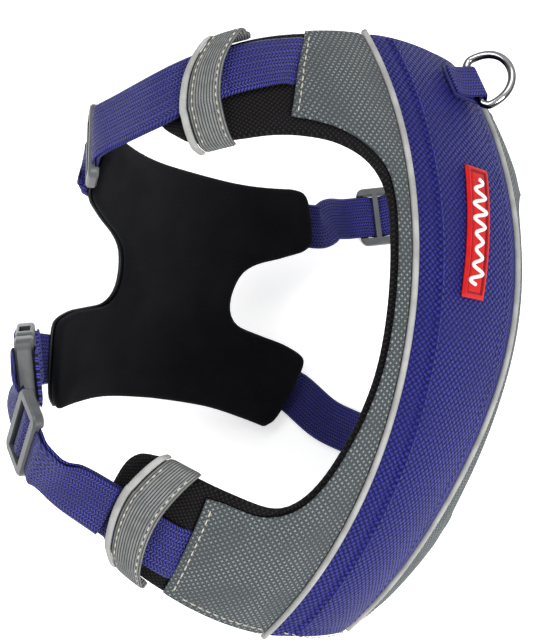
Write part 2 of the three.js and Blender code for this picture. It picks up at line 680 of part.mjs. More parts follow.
// Front ring: on the outer face of the chest plate, near the neck end.
const FRONT = { l: 0, m: 24 };
const FRONT_FRAME = frameMatrix(
  chestPoint(FRONT.l, FRONT.m, CHEST_STRAP),
  chestPoint(0, 60, 0).sub(chestPoint(0, 40, 0)).normalize(),
  chestPoint(0, 0, 0).sub(chestPoint(5, 0, 0)).normalize(),
  chestOut(0, 0),
);

const BACK_RING_TURN = -1.15;
const FRONT_RING_TURN = -0.15;

function ringAt(frame, turn) {
  const ring = dRing(RING_HALF, RING_REACH, RING_WIRE);
  ring.rotateY(turn);
  ring.translate(TAB_REACH, 0, BAR_HEIGHT);
  return ring.applyMatrix4(frame);
}

// The buckle in its own frame: x across, y from the strap's half to the plate's half, z out.
function plateFrom(y0, y1, width, depth, corner) {
  const plate = roundedPlate(width, y1 - y0, corner, depth, 1);
  return plate.translate(0, (y0 + y1) / 2, -depth / 2);
}

function buckleSocket() {
  const body = plateFrom(-8.4, BUCKLE_HALF, BUCKLE_WIDTH, BUCKLE_DEPTH, 4);
  return cut(body,
    box(-13.6, 13.6, -10, 11, -2.5, 2.5),
    box(-20, -11, -1.4, 10.4, -2.5, 2.5),
    box(11, 20, -1.4, 10.4, -2.5, 2.5),
    box(-SLOT_HALF, SLOT_HALF, 13.8, BUCKLE_HALF - BAR, -6, 6));
}

function bucklePlug() {
  const body = plateFrom(-BUCKLE_HALF, -8.8, BUCKLE_WIDTH, BUCKLE_DEPTH, 4);
  const tongue = box(-3.6, 3.6, -11, 9, -1.7, 1.7);
  const joined = toSolid(body).add(toSolid(tongue));
  return fromSolid(joined.subtract(toSolid(box(-SLOT_HALF, SLOT_HALF, BAR - BUCKLE_HALF, -13.8, -6, 6))));
}

function bucklePlugProng(sign) {
  const shape = new THREE.Shape([
    [9.2, -8.2], [12.2, -8.2], [12.6, -1.4], [13.4, 1.5], [14.6, 6.5], [13.2, 9.6], [10.4, 9.6], [9.4, 2],
  ].map(([x, y]) => new THREE.Vector2(sign * x, y)));
  return closed(new THREE.ExtrudeGeometry(shape, { depth: 4, bevelEnabled: false }).translate(0, 0, -2));
}

// The short strap that ties the buckle's socket to the chest plate's near arm.
function buckleTab() {
  const strap = new Strap([...foldRoundBar(1, 24.5).reverse(), ...onChest(1, 80, 28, -31, -27)]);
  return ribbon(strap, strap.stations(0, strap.length, 5.5));
}

// ---------------------------------------------------------------- label

const LABEL = { s: 8.5, a: -0.5, lean: -0.12, length: 60, width: 13 };

function labelPoint(x, y, lift) {
  const s = LABEL.s + y;
  const a = LABEL.a + x + LABEL.lean * y;
  return bodyPoint(s, a, crownLift(a) + GAP + lift);
}

function labelPatch() {
  return slab(16, 4, (u, v, side) => labelPoint(LABEL.width * (v - 0.5), LABEL.length * (u - 0.5), side * 1.6));
}

// A raised wave along the label, where a maker would put a name.
function labelWave() {
  const turns = 7;
  const half = 1.1;
  return slab(56, 1, (u, v, side) => {
    const y = 48 * (u - 0.5);
    const x = 3.6 * Math.sin(u * turns * 2 * Math.PI) * (0.75 + 0.25 * Math.cos(u * 9));
    return labelPoint(x + 2 * half * (v - 0.5), y, 1.6 + GAP * 0.5 + side * 0.8);
  });
}

// ---------------------------------------------------------------- chest plate

const CHEST_HALF = [
  [[0, 78.5], [26, 78.8], [44, 80.5], [58, 83]],
  [[58, 83], [65, 82.5], [69, 77], [74, 62], [75, 54], [71, 48.5]],
  [[71, 48.5], [60, 42], [48, 35.5], [41, 28], [38, 16], [39.5, 6], [46, -0.5], [58, -3.6], [70, -6], [78, -9]],
  [[78, -9], [83, -13], [82.5, -22], [78, -40], [74, -51], [69, -56]],
  [[69, -56], [56, -53], [34, -49.5], [0, -48.5]],
];

function mirroredOutline(half, spacing) {
  const far = half.map((run) => run.map(([a, s]) => [-a, s]).reverse()).reverse();
  const join = (runs) => runs.map((run, i) => (i === runs.length - 1 ? run : run.slice(0, -1)));
  return outline([...join(half), ...join(far)].map((run) => run.filter(
    (p, i) => i === 0 || p[0] !== run[i - 1][0] || p[1] !== run[i - 1][1])), spacing);
}

function chestSheet(inset, low, high) {
  const shrink = ([l, m]) => [l * (1 - inset / 80), 14 + (m - 14) * (1 - inset / 65)];
  const half = CHEST_HALF.map((run) => run.map(shrink));
  return bentSheet(mirroredOutline(half, 10), low, high, 14, (l, m, h) => chestPoint(l, m, h));
}

// ---------------------------------------------------------------- assembly

const harness = new THREE.Group();

function add(name, geometry, colour, roughness, metalness = 0) {
  const material = new THREE.MeshStandardMaterial({ color: COLOURS[colour], roughness, metalness });
  const mesh = new THREE.Mesh(geometry, material);
  mesh.name = name;
  mesh.position.copy(TABLE).negate();
  harness.add(mesh);
}

add('liner_waist', linerWaist(), 'black', 0.95);
add('spine_panel', spinePanel(), 'blue', 0.75);
for (const [side, sign] of [['near', 1], ['far', -1]]) {
  add(`liner_neck_${side}`, linerCorner(LINER_NECK, sign), 'black', 0.95);
  add(`liner_girth_${side}`, linerCorner(LINER_GIRTH, sign), 'black', 0.95);
  add(`side_panel_${side}`, sidePanel(sign), 'grey', 0.85);
  add(`piping_${side}`, piping(sign), 'piping', 0.6);
  for (const [end, arm] of [['neck', NECK_ARM], ['girth', GIRTH_ARM]]) {
    const name = `${end}_${side}`;
    const [x0, x1] = arm.keeper;
    add(`${name}_keeper`, keeper(arm, sign, x0, x1, 0), 'grey', 0.85);
    add(`${name}_keeper_piping`, keeper(arm, sign, x1 + GAP, x1 + 3.3, 0.5), 'piping', 0.6);
    add(`${name}_strap`, mainStrap(name), 'blue', 0.6);
    add(`${name}_tail`, tailStrap(name), 'blue', 0.6);
    add(`${name}_slider`, sliderOn(name), 'plastic', 0.45);
  }
}
add('label', labelPatch(), 'red', 0.5);
add('label_wave', labelWave(), 'white', 0.5);
add('back_ring_tab', ringTab(TAB_WIDTH, TAB_REACH, BAR_HEIGHT).applyMatrix4(BACK_FRAME), 'blue', 0.6);
add('back_ring', ringAt(BACK_FRAME, BACK_RING_TURN), 'steel', 0.2, 1);
add('chest_liner', chestSheet(0, -5, 0), 'black', 0.95);
add('chest_shell', chestSheet(1.5, ...CHEST_SKIN), 'dark', 0.5);
add('front_ring_tab', ringTab(TAB_WIDTH, TAB_REACH, BAR_HEIGHT).applyMatrix4(FRONT_FRAME), 'blue', 0.6);
add('front_ring', ringAt(FRONT_FRAME, FRONT_RING_TURN), 'steel', 0.2, 1);
add('buckle_socket', buckleSocket().applyMatrix4(BUCKLE_FRAME), 'plastic', 0.45);
add('buckle_plug', bucklePlug().applyMatrix4(BUCKLE_FRAME), 'plastic', 0.45);
add('buckle_prong_a', bucklePlugProng(1).applyMatrix4(BUCKLE_FRAME), 'plastic', 0.45);
add('buckle_prong_b', bucklePlugProng(-1).applyMatrix4(BUCKLE_FRAME), 'plastic', 0.45);
add('buckle_tab', buckleTab(), 'blue', 0.6);

export default harness;
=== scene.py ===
"""Looks of the dog harness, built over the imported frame.

The form functions repeat the CAD model's and give millimetres. to_row turns them into the row frame's metres.
"""

import math

import bmesh
import bpy
import numpy as np
from mathutils import Matrix, Vector
from mathutils.geometry import delaunay_2d_cdt


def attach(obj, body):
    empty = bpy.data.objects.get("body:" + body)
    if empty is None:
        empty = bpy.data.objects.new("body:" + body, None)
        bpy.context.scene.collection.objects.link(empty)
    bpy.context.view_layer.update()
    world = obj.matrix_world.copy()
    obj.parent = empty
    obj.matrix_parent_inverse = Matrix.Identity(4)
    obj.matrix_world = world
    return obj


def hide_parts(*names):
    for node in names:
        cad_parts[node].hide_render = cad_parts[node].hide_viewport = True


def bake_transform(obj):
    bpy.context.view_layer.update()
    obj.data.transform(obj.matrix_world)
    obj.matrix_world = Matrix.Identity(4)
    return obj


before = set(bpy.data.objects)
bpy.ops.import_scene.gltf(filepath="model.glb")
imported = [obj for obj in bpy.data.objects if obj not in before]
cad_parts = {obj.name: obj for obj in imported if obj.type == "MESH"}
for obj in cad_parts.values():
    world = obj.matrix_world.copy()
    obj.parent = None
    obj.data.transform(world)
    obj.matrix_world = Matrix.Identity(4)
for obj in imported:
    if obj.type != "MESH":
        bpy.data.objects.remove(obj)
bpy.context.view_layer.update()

# ---------------------------------------------------------------- the CAD model's driving dimensions

SPINE_RADIUS = 206.0
SECTION_DEPTH = 77.0
SECTION_WIDTH = 112.0
SECTION_FLARE = 0.02
LEAN = 0.728
CENTRE = np.array([32.2, 12.2, 123.6])
TABLE = np.array([5.93, -19.17, -4.45])
GAP = 0.3
WEBBING_WIDTH = 25.0
WEBBING_THICKNESS = 1.5
SPINE_HALF = 32.4
PIPING_AT = 34.2
PIPING_RADIUS = 1.5
LINER_LIFT = (-6.6, -0.8)
SHELL_LIFT = (0.0, 1.6)
CROWN = 2.2
NECK_END = 104.5
GIRTH_END = -196.0
CHEST_CENTRE = np.array([-52.4, 10.0, 53.3])
CHEST_BOW = 24.0
CHEST_REACH = 80.0
CHEST_AXES = np.array([[0.705, 0.204, 0.679], [0.009, 0.955, -0.297], [-0.709, 0.216, 0.671]])
CHEST_SKIN = (-7.1, -5.6)
CHEST_STRAP = CHEST_SKIN[0] - GAP
SETTLE_MOST, SETTLE_TURN, SETTLE_BLEND = 7.0, -75.0, 60.0

LABEL = {"s": 8.5, "a": -0.5, "lean": -0.12, "length": 60.0, "width": 13.0}

# Each arm: crest position, skew and bend of its cross lines, keeper span, edges along the crest.
NECK_ARM = {
    "s": 85.0, "skew": -0.5, "bend": (-0.012, -0.027),
    "keeper": (107, 121), "edges": (48.6, 106),
}
GIRTH_ARM = {
    "s": -171.0, "skew": 0.25, "bend": (-0.011, -0.011),
    "keeper": (106, 121), "edges": (-198.5, -132),
}
ARM_SPREAD = 1.36
ARMS = {"neck": NECK_ARM, "girth": GIRTH_ARM}
SIDES = {"near": 1, "far": -1}

# ---------------------------------------------------------------- form functions

ARC_STEPS = np.linspace(0, 1.2 * math.pi, 401)
ARC_MIDDLES = (ARC_STEPS[1:] + ARC_STEPS[:-1]) / 2
ARC_SPEEDS = np.hypot(SECTION_DEPTH * np.sin(ARC_MIDDLES), SECTION_WIDTH * np.cos(ARC_MIDDLES))
ARC_LENGTHS = np.concatenate([[0], np.cumsum(ARC_SPEEDS * np.diff(ARC_STEPS))])


def smoothstep(x, low, high):
    t = np.clip((x - low) / (high - low), 0, 1)
    return t * t * (3 - 2 * t)


def to_row(points):
    return (points - TABLE) / 1000


def body_mm(s, a, lift):
    s, a, lift = np.broadcast_arrays(*(np.asarray(v, float) for v in (s, a, lift)))
    psi = s / SPINE_RADIUS
    k = 1 + SECTION_FLARE * psi
    t = np.sign(a) * np.interp(np.abs(a / k), ARC_LENGTHS, ARC_STEPS)
    side = (SECTION_WIDTH * k + lift) * np.sin(t)
    radius = SPINE_RADIUS - SECTION_DEPTH + (SECTION_DEPTH * k + lift) * np.cos(t)
    up = radius * np.cos(psi) - (SPINE_RADIUS - SECTION_DEPTH)
    spread = np.tanh((s - SETTLE_TURN) / SETTLE_BLEND)
    settle = SETTLE_MOST * spread * smoothstep(-a, -15, 35) * (1 - smoothstep(-a, 70, 130))
    x = up * math.cos(LEAN) - side * math.sin(LEAN) + settle
    z = up * math.sin(LEAN) + side * math.cos(LEAN)
    return np.stack([x, radius * np.sin(psi), z], -1) + CENTRE


def arm_mm(arm, sign, x, y, lift):
    y = np.asarray(y, float)
    bend = np.where(y > 0, arm["bend"][1], arm["bend"][0])
    return body_mm(arm["s"] + ARM_SPREAD * y, sign * (x + arm["skew"] * y + bend * y * y), lift)


def chest_mm(l, m, h):
    l, m, h = np.broadcast_arrays(*(np.asarray(v, float) for v in (l, m, h)))
    slope = -2 * CHEST_BOW * l / CHEST_REACH**2
    tilt = np.hypot(slope, 1)
    bow = CHEST_BOW * (l / CHEST_REACH) ** 2
    local = np.stack([-l - slope * h / tilt, m, bow + h / tilt], -1)
    return local @ CHEST_AXES.T + CHEST_CENTRE


def unit(v):
    v = np.asarray(v, float)
    return v / np.linalg.norm(v, axis=-1, keepdims=True)


def crown_lift(a):
    return SHELL_LIFT[1] + CROWN * (1 - (np.asarray(a) / SPINE_HALF) ** 4)


# ---------------------------------------------------------------- curves


def spline_run(points, spacing):
    """Points evenly spaced along a uniform Catmull-Rom curve, the last one left out."""
    p = np.array(points, float)
    ext = np.vstack([p[0], p, p[-1]])
    t = np.linspace(0, 1, 24, endpoint=False)[:, None]
    dense = []
    for i in range(len(p) - 1):
        p0, p1, p2, p3 = ext[i : i + 4]
        v0, v1 = (p2 - p0) / 2, (p3 - p1) / 2
        cubic, square = 2 * p1 - 2 * p2 + v0 + v1, 3 * p2 - 3 * p1 - 2 * v0 - v1
        dense.append(cubic * t**3 + square * t**2 + v0 * t + p1)
    dense = np.vstack([*dense, p[-1:]])
    n = max(1, round(length_of(dense) / spacing))
    return resample(dense, n)[:-1]


def length_of(points):
    return np.linalg.norm(np.diff(points, axis=0), axis=1).sum()


def run_lengths(points):
    """The length along a line of points up to each of them."""
    return np.concatenate([[0], np.cumsum(np.linalg.norm(np.diff(points, axis=0), axis=1))])


def read_off(at, steps, rows):
    """The rows' values at some lengths, given the length that each row stands at."""
    return np.stack([np.interp(at, steps, rows[:, k]) for k in range(rows.shape[1])], -1)


def resample(points, n):
    """The same line as n equal steps."""
    steps = run_lengths(points)
    return read_off(np.linspace(0, steps[-1], n + 1), steps, points)


def outline(runs, spacing):
    """A closed outline: each run is a smooth curve, and runs meet at corners."""
    pieces = []
    for i, run in enumerate(runs):
        pieces.append(spline_run([*run, runs[(i + 1) % len(runs)][0]], spacing))
    return np.vstack(pieces)


def both_sides(half):
    """The runs of a half outline and its mirror image, which share their end points."""
    far = [[(-a, s) for a, s in reversed(run)] for run in reversed(half)]
    runs = [list(run) for run in [*half, *far]]
    for i, run in enumerate(runs):
        if run[-1] == runs[(i + 1) % len(runs)][0]:
            runs[i] = run[:-1]
    return [run for run in runs if run]


def centripetal(q, u):
    """Points and directions on the middle span of a centripetal Catmull-Rom curve through four points."""
    d = np.maximum(np.sum((q[1:] - q[:-1]) ** 2, axis=1) ** 0.25, 1e-4)
    t1 = ((q[1] - q[0]) / d[0] - (q[2] - q[0]) / (d[0] + d[1]) + (q[2] - q[1]) / d[1]) * d[1]
    t2 = ((q[2] - q[1]) / d[1] - (q[3] - q[1]) / (d[1] + d[2]) + (q[3] - q[2]) / d[2]) * d[1]
    square, cubic = -3 * q[1] + 3 * q[2] - 2 * t1 - t2, 2 * q[1] - 2 * q[2] + t1 + t2
    return q[1] + t1 * u + square * u**2 + cubic * u**3, t1 + 2 * square * u + 3 * cubic * u**2


class Strap:
    """A strap through control points, each a (point, outward normal, whether it is a slider's bar) triple.

    At each step along it: inner face point p, outward normal n, direction t, width axis w and length s.
    """

    SPAN_STEPS = 40
    TWIST_REACH = 3.4

    def __init__(self, controls):
        p = np.array([c[0] for c in controls], float)
        n = np.array([c[1] for c in controls], float)
        ext = np.vstack([2 * p[0] - p[1], p, 2 * p[-1] - p[-2]])
        part = np.linspace(0, 1, self.SPAN_STEPS, endpoint=False)[:, None]
        points, along, normals = [], [], []
        for i in range(len(p) - 1):
            u = part if i < len(p) - 2 else np.vstack([part, [[1.0]]])
            place, direction = centripetal(ext[i : i + 4], u)
            points.append(place)
            along.append(direction)
            normals.append(n[i] + (n[i + 1] - n[i]) * u)
        self.p, self.t, normal = np.vstack(points), unit(np.vstack(along)), np.vstack(normals)
        normal = unit(normal - self.t * np.sum(normal * self.t, axis=1, keepdims=True))
        self.w = np.cross(self.t, normal)
        self.s = run_lengths(self.p)
        self.length = self.s[-1]
        bars = [i for i, c in enumerate(controls) if c[2]]
        self.weave = self.s[bars[0] * self.SPAN_STEPS] if bars else None
        for _ in range(2):
            self.ease_twist()
        self.n = np.cross(self.w, self.t)

    def ease_twist(self):
        """Averages the width axis over the steps close by."""
        close = np.abs(self.s[:, None] - self.s[None, :]) < self.TWIST_REACH
        w = close.astype(float) @ self.w
        self.w = unit(w - self.t * np.sum(w * self.t, axis=1, keepdims=True))

    def at(self, s):
        p, n, t, w = (read_off(s, self.s, rows) for rows in (self.p, self.n, self.t, self.w))
        return p, unit(n), unit(t), unit(w)

    def stations(self, start, end, spacing):
        """Lengths from start to end about spacing apart, and closer where the strap turns."""
        kept, last = [start], None
        for s, t in zip(self.s, self.t):
            if last is None:
                last = t
            gone = s - kept[-1]
            if gone < 0.5 or s > end - 0.5:
                continue
            if gone >= spacing or np.dot(t, last) < 0.993:
                kept.append(s)
                last = t
        return np.array([*kept, end])


def free(x, y, z, nx, ny, nz):
    return (np.array([x, y, z], float), unit([nx, ny, nz]), False)


def on_arm(arm, sign, x, s=None):
    s = arm["s"] if s is None else s
    p = body_mm(s, sign * x, GAP)
    return (p, unit(body_mm(s, sign * x, 5) - body_mm(s, sign * x, 0)), False)


def on_chest(sign, start, end, m0, m1):
    found = []
    for part in np.linspace(0, 1, 7):
        l, m = sign * (start + (end - start) * part), m0 + (m1 - m0) * part
        found.append((chest_mm(l, m, CHEST_STRAP), unit(chest_mm(l, m, -5) - chest_mm(l, m, 0)), False))
    return found


def straight_through(p, along, n):
    along = unit(along)
    flat = unit(n - along * np.dot(n, along))
    return [(p + along * d, flat, d == 0) for d in (-18, -12.5, 0, 12.5, 18)]


BUCKLE_AT = np.array([-106.0, -34.0, 153.0])
BUCKLE_ALONG = unit([-0.2, 0.36, -0.91])
BUCKLE_ACROSS = unit(np.cross(BUCKLE_ALONG, [-1, -0.05, 0]))
BUCKLE_OUT = np.cross(BUCKLE_ACROSS, BUCKLE_ALONG)
BUCKLE_HALF = 23.0
BUCKLE_DEPTH = 8.2
FOLD_HEIGHT = BUCKLE_DEPTH / 2 + 0.4


def fold_round_bar(end, leg):
    """Controls of webbing folded round the bar at one end, ending leg millimetres from the buckle's middle."""
    turn = BUCKLE_HALF - 4.9
    path = [
        (turn + 5.5, FOLD_HEIGHT, 0, 1), (turn + 3, FOLD_HEIGHT, 0, 1), (turn + 1.2, FOLD_HEIGHT, 0, 1),
        (turn + 0.2, 4, -0.7, 0.7), (turn, 3, -1, 0), (turn, -3, -1, 0), (turn + 0.2, -4, -0.7, -0.7),
        (turn + 1.2, -FOLD_HEIGHT, 0, -1), (turn + 3, -FOLD_HEIGHT, 0, -1), (leg, -FOLD_HEIGHT, 0, -1),
    ]
    controls = []
    for y, z, ny, nz in path:
        point = BUCKLE_AT + BUCKLE_ALONG * end * y + BUCKLE_OUT * z
        controls.append((point, BUCKLE_ALONG * end * ny + BUCKLE_OUT * nz, False))
    return controls


GIRTH_FAR = body_mm(-167, -158, GAP)
GIRTH_FAR_ALONG = unit(body_mm(-166.5, -159, GAP) - body_mm(-167.5, -157, GAP))
GIRTH_FAR_OUT = unit(body_mm(-167, -158, 5) - body_mm(-167, -158, 0))

STRAPS = {
    "neck_near": Strap([
        *[on_arm(NECK_ARM, 1, x) for x in (75, 90, 107, 125)], on_arm(NECK_ARM, 1, 137, 86),
        free(-60, 67, 192.5, -0.72, 0.08, 0.69),
        *straight_through(np.array([-75, 65.5, 165]), [-0.24, 0, -0.97], np.array([-0.97, 0, 0.24])),
        free(-85.5, 67, 139, -0.95, -0.1, 0.1), *on_chest(1, 79, 30, 65, 56),
    ]),
    "neck_far": Strap([
        *[on_arm(NECK_ARM, -1, x) for x in (75, 90, 107, 125)], on_arm(NECK_ARM, -1, 143, 88),
        free(90, 78, 16, 0.5, 0.1, -0.86),
        *straight_through(np.array([64, 80, 0.8]), [-1, -0.1, 0], np.array([0, 0, -1.0])),
        free(37, 75.5, 9.5, -0.35, 0.1, -0.9), *on_chest(-1, 79, 30, 65, 56),
    ]),
    "girth_near": Strap([
        on_arm(GIRTH_ARM, 1, 93), on_arm(GIRTH_ARM, 1, 107, -172), on_arm(GIRTH_ARM, 1, 125, -174),
        free(-79, -88, 187.5, -0.6, -0.18, 0.78),
        *straight_through(np.array([-97, -67, 183]), [-0.42, 0.76, -0.49], np.array([-0.86, -0.07, 0.49])),
        *fold_round_bar(-1, 30),
    ]),
    "girth_far": Strap([
        on_arm(GIRTH_ARM, -1, 93), on_arm(GIRTH_ARM, -1, 107), on_arm(GIRTH_ARM, -1, 121, -170),
        *straight_through(GIRTH_FAR, GIRTH_FAR_ALONG, GIRTH_FAR_OUT),
        free(32, -42, 0.3, 0.1, 0, -1), *on_chest(-1, 80, 32, -32, -27),
    ]),
}
BUCKLE_TAB = Strap([*fold_round_bar(1, 24.5)[::-1], *on_chest(1, 80, 28, -31, -27)])

# ---------------------------------------------------------------- mesh helpers


def mesh_object(name, points, faces, uv=None):
    """A smooth-shaded object from points in metres, with its faces turned outwards."""
    mesh = bpy.data.meshes.new(name)
    mesh.from_pydata([tuple(p) for p in np.asarray(points)], [], [tuple(int(i) for i in f) for f in faces])
    finish_mesh(mesh, uv)
    obj = bpy.data.objects.new(name, mesh)
    bpy.context.scene.collection.objects.link(obj)
    return obj


def finish_mesh(mesh, uv=None):
    bm = bmesh.new()
    bm.from_mesh(mesh)
    bmesh.ops.recalc_face_normals(bm, faces=bm.faces)
    bm.to_mesh(mesh)
    bm.free()
    if uv is not None:
        layer = mesh.uv_layers.new(name="pattern")
        loops = np.zeros(len(mesh.loops), int)
        mesh.loops.foreach_get("vertex_index", loops)
        layer.data.foreach_set("uv", np.asarray(uv, float)[loops].ravel())
    mesh.shade_smooth()


def evaluated(obj):
    graph = bpy.context.evaluated_depsgraph_get()
    return bpy.data.meshes.new_from_object(obj.evaluated_get(graph))


def vertices(mesh):
    co = np.zeros(len(mesh.vertices) * 3)
    mesh.vertices.foreach_get("co", co)
    return co.reshape(-1, 3)


def put_vertices(mesh, co):
    mesh.vertices.foreach_set("co", np.asarray(co, float).ravel())
    mesh.update()


def finish_piece(obj, material, slot, body, *nodes):
    obj.data.materials.clear()
    obj.data.materials.append(material)
    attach(obj, body)
    if nodes:
        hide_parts(*nodes)
    return obj


def swap_mesh(obj, mesh):
    obj.modifiers.clear()
    old = obj.data
    obj.data = mesh
    bpy.data.meshes.remove(old)


def rim_distance(x, y, rim):
    """How far each point lies from the rim."""
    best = np.full(len(x), 1e9)
    for (ax, ay), (bx, by) in zip(rim, np.roll(rim, -1, axis=0)):
        dx, dy = bx - ax, by - ay
        t = np.clip(((x - ax) * dx + (y - ay) * dy) / (dx * dx + dy * dy), 0, 1)
        best = np.minimum(best, np.hypot(x - ax - t * dx, y - ay - t * dy))
    return best


def within(x, y, rim):
    odd = np.zeros(len(x), bool)
    for (ax, ay), (bx, by) in zip(rim, np.roll(rim, -1, axis=0)):
        if ay != by:
            odd ^= ((ay > y) != (by > y)) & (x < ax + (y - ay) * (bx - ax) / (by - ay))
    return odd


def filling(rim, spacing, insets):
    """Points inside the rim: rows of loops close to it, then an even triangular grid."""
    ahead, behind = np.roll(rim, -1, axis=0) - rim, rim - np.roll(rim, 1, axis=0)
    along = unit(unit(ahead) + unit(behind))
    normal = np.stack([-along[:, 1], along[:, 0]], -1)
    area = np.sum(rim[:, 0] * np.roll(rim[:, 1], -1) - np.roll(rim[:, 0], -1) * rim[:, 1])
    found = []
    for inset in insets:
        loop = rim + normal * inset * np.sign(area)
        near = rim_distance(loop[:, 0], loop[:, 1], rim) > 0.85 * inset
        found.append(loop[near & within(loop[:, 0], loop[:, 1], rim)])
    low, high = rim.min(axis=0), rim.max(axis=0)
    grid = []
    for i, y in enumerate(np.arange(low[1] + spacing / 2, high[1], spacing * 0.87)):
        xs = np.arange(low[0] + spacing * (0.25 + 0.5 * (i % 2)), high[0], spacing)
        grid.append(np.column_stack([xs, np.full(len(xs), y)]))
    grid = np.vstack(grid)
    deep = rim_distance(grid[:, 0], grid[:, 1], rim) > max(insets) + spacing * 0.45
    return np.vstack([*found, grid[deep & within(grid[:, 0], grid[:, 1], rim)]])


def flat_pad(name, rim, low, high, spacing, insets):
    """A closed flat pad whose edge is rounded over: its two faces share the points of the rim."""
    inner = filling(rim, spacing, insets)
    points = [Vector(p) for p in np.vstack([rim, inner])]
    n = len(rim)
    edges = [(i, (i + 1) % n) for i in range(n)]
    verts, _, faces, *_ = delaunay_2d_cdt(points, edges, [], 1, 1e-7)
    flat = np.array([tuple(v) for v in verts])
    d = rim_distance(flat[:, 0], flat[:, 1], rim)
    on_rim = d < 1e-3
    reach, half = max(insets), (high - low) / 2
    bulge = half * np.sqrt(1 - (1 - np.clip(d / reach, 0, 1)) ** 2)
    top = np.column_stack([flat, (low + high) / 2 + bulge])
    under = np.column_stack([flat, (low + high) / 2 - bulge])
    count = len(flat)
    lower = np.where(on_rim, np.arange(count), count + np.cumsum(~on_rim) - 1)
    solid = [tuple(f) for f in faces] + [tuple(int(lower[i]) for i in reversed(f)) for f in faces]
    return mesh_object(name, np.vstack([top, under[~on_rim]]) / 1000, solid)


PUFF_FRAMES = 20


def puffed(obj, pressure, cap):
    """Blows the pad up with a short cloth simulation, no point moving further than cap millimetres."""
    start = vertices(obj.data)
    cloth = obj.modifiers.new("puff", "CLOTH")
    settings = cloth.settings
    settings.use_pressure = True
    settings.uniform_pressure_force = pressure
    settings.effector_weights.gravity = 0
    settings.tension_stiffness = 30
    settings.compression_stiffness = 30
    settings.bending_stiffness = 4
    cloth.point_cache.frame_start = 1
    cloth.point_cache.frame_end = PUFF_FRAMES
    scene = bpy.context.scene
    for number in range(1, PUFF_FRAMES + 1):
        scene.frame_set(number)
        obj.evaluated_get(bpy.context.evaluated_depsgraph_get())
    mesh = evaluated(obj)
    moved = vertices(mesh) - start
    size = np.linalg.norm(moved, axis=1, keepdims=True)
    moved *= np.minimum(1, cap / 1000 / np.maximum(size, 1e-9))
    swap_mesh(obj, mesh)
    put_vertices(obj.data, start + moved)
    scene.frame_set(1)


def pad(name, rim, low, high, spacing, insets, shape, place, cloth=None, smooth=1):
    """A sewn pad cut to rim, blown up if cloth is given, shaped, and bent into place."""
    obj = flat_pad(name, rim, low, high, spacing, insets)
    if cloth:
        puffed(obj, *cloth)
    if smooth:
        rounded = obj.modifiers.new("smooth", "SUBSURF")
        rounded.levels = rounded.render_levels = smooth
        swap_mesh(obj, evaluated(obj))
    x, y, z = (vertices(obj.data) * 1000).T
    put_vertices(obj.data, to_row(place(x, y, shape(x, y, z))))
    finish_mesh(obj.data, np.stack([x, y], -1) / 1000)
    return obj


def section_ring(width, low, high, across, rounding=14):
    """Closed cross-section of a band with rounded edges, as (across, lift) pairs."""
    half, mid, rise = width / 2, (low + high) / 2, (high - low) / 2
    xs = np.linspace(-1, 1, across)
    edge = np.sqrt(np.clip(1 - np.abs(xs) ** rounding, 0, 1))
    top = [(half * x, mid + rise * e) for x, e in zip(xs, edge)]
    under = [(half * x, mid - rise * e) for x, e in zip(xs[1:-1][::-1], edge[1:-1][::-1])]
    return np.array(top + under)


def ring_faces(sides, rings, closed=False):
    """Faces between neighbouring rings of points, with end caps unless the last ring meets the first."""
    faces = []
    for i in range(rings if closed else rings - 1):
        here, ahead = i * sides, (i + 1) % rings * sides
        for j in range(sides):
            k = (j + 1) % sides
            faces.append((here + j, here + k, ahead + k, ahead + j))
    if not closed:
        faces.append(tuple(range(sides))[::-1])
        faces.append(tuple(range((rings - 1) * sides, rings * sides)))
    return faces


def sweep(name, frames, section):
    """Sweeps a closed section along the frames that strap_frames gives, and caps both ends."""
    p, n, t, w, shift, rise, s = (row[:, None] for row in frames)
    x, z = section[:, 0], section[:, 1]
    points = p + w * x[:, None] + n * (z + rise)[..., None] + t * (x * shift)[..., None]
    uv = np.stack([np.tile(x, len(p)), np.repeat(s, len(x))], -1) / 1000
    return mesh_object(name, to_row(points).reshape(-1, 3), ring_faces(len(x), len(p)), uv)


def tube(name, points, radius, sides, closed=False):
    """A round cord through points in metres; the pattern runs round and along it."""
    points = np.asarray(points)
    n = len(points)
    ahead, behind = np.roll(points, -1, axis=0), np.roll(points, 1, axis=0)
    if not closed:
        ahead[-1], behind[0] = points[-1], points[0]
    along = unit(ahead - behind)
    normal = np.zeros_like(points)
    normal[0] = unit(np.cross(along[0], [0.3, 0.2, 0.9]))
    for i in range(1, n):
        normal[i] = unit(normal[i - 1] - along[i] * np.dot(normal[i - 1], along[i]))
    if closed:
        across = np.dot(np.cross(normal[-1], normal[0]), along[0])
        angles = np.linspace(0, math.atan2(across, np.dot(normal[-1], normal[0])), n)
        side = np.cross(along, normal)
        normal = normal * np.cos(angles)[:, None] + side * np.sin(angles)[:, None]
    side = np.cross(along, normal)
    turn = np.linspace(0, 2 * math.pi, sides, endpoint=False)
    ring = normal[:, None] * np.cos(turn)[None, :, None] + side[:, None] * np.sin(turn)[None, :, None]
    verts = (points[:, None] + ring * radius / 1000).reshape(-1, 3)
    uv = np.stack([np.tile(turn * radius / 1000, n), np.repeat(run_lengths(points), sides)], -1)
    return mesh_object(name, verts, ring_faces(sides, n, closed), uv)


THREAD_SIDES = 6
THREAD_RINGS = 5


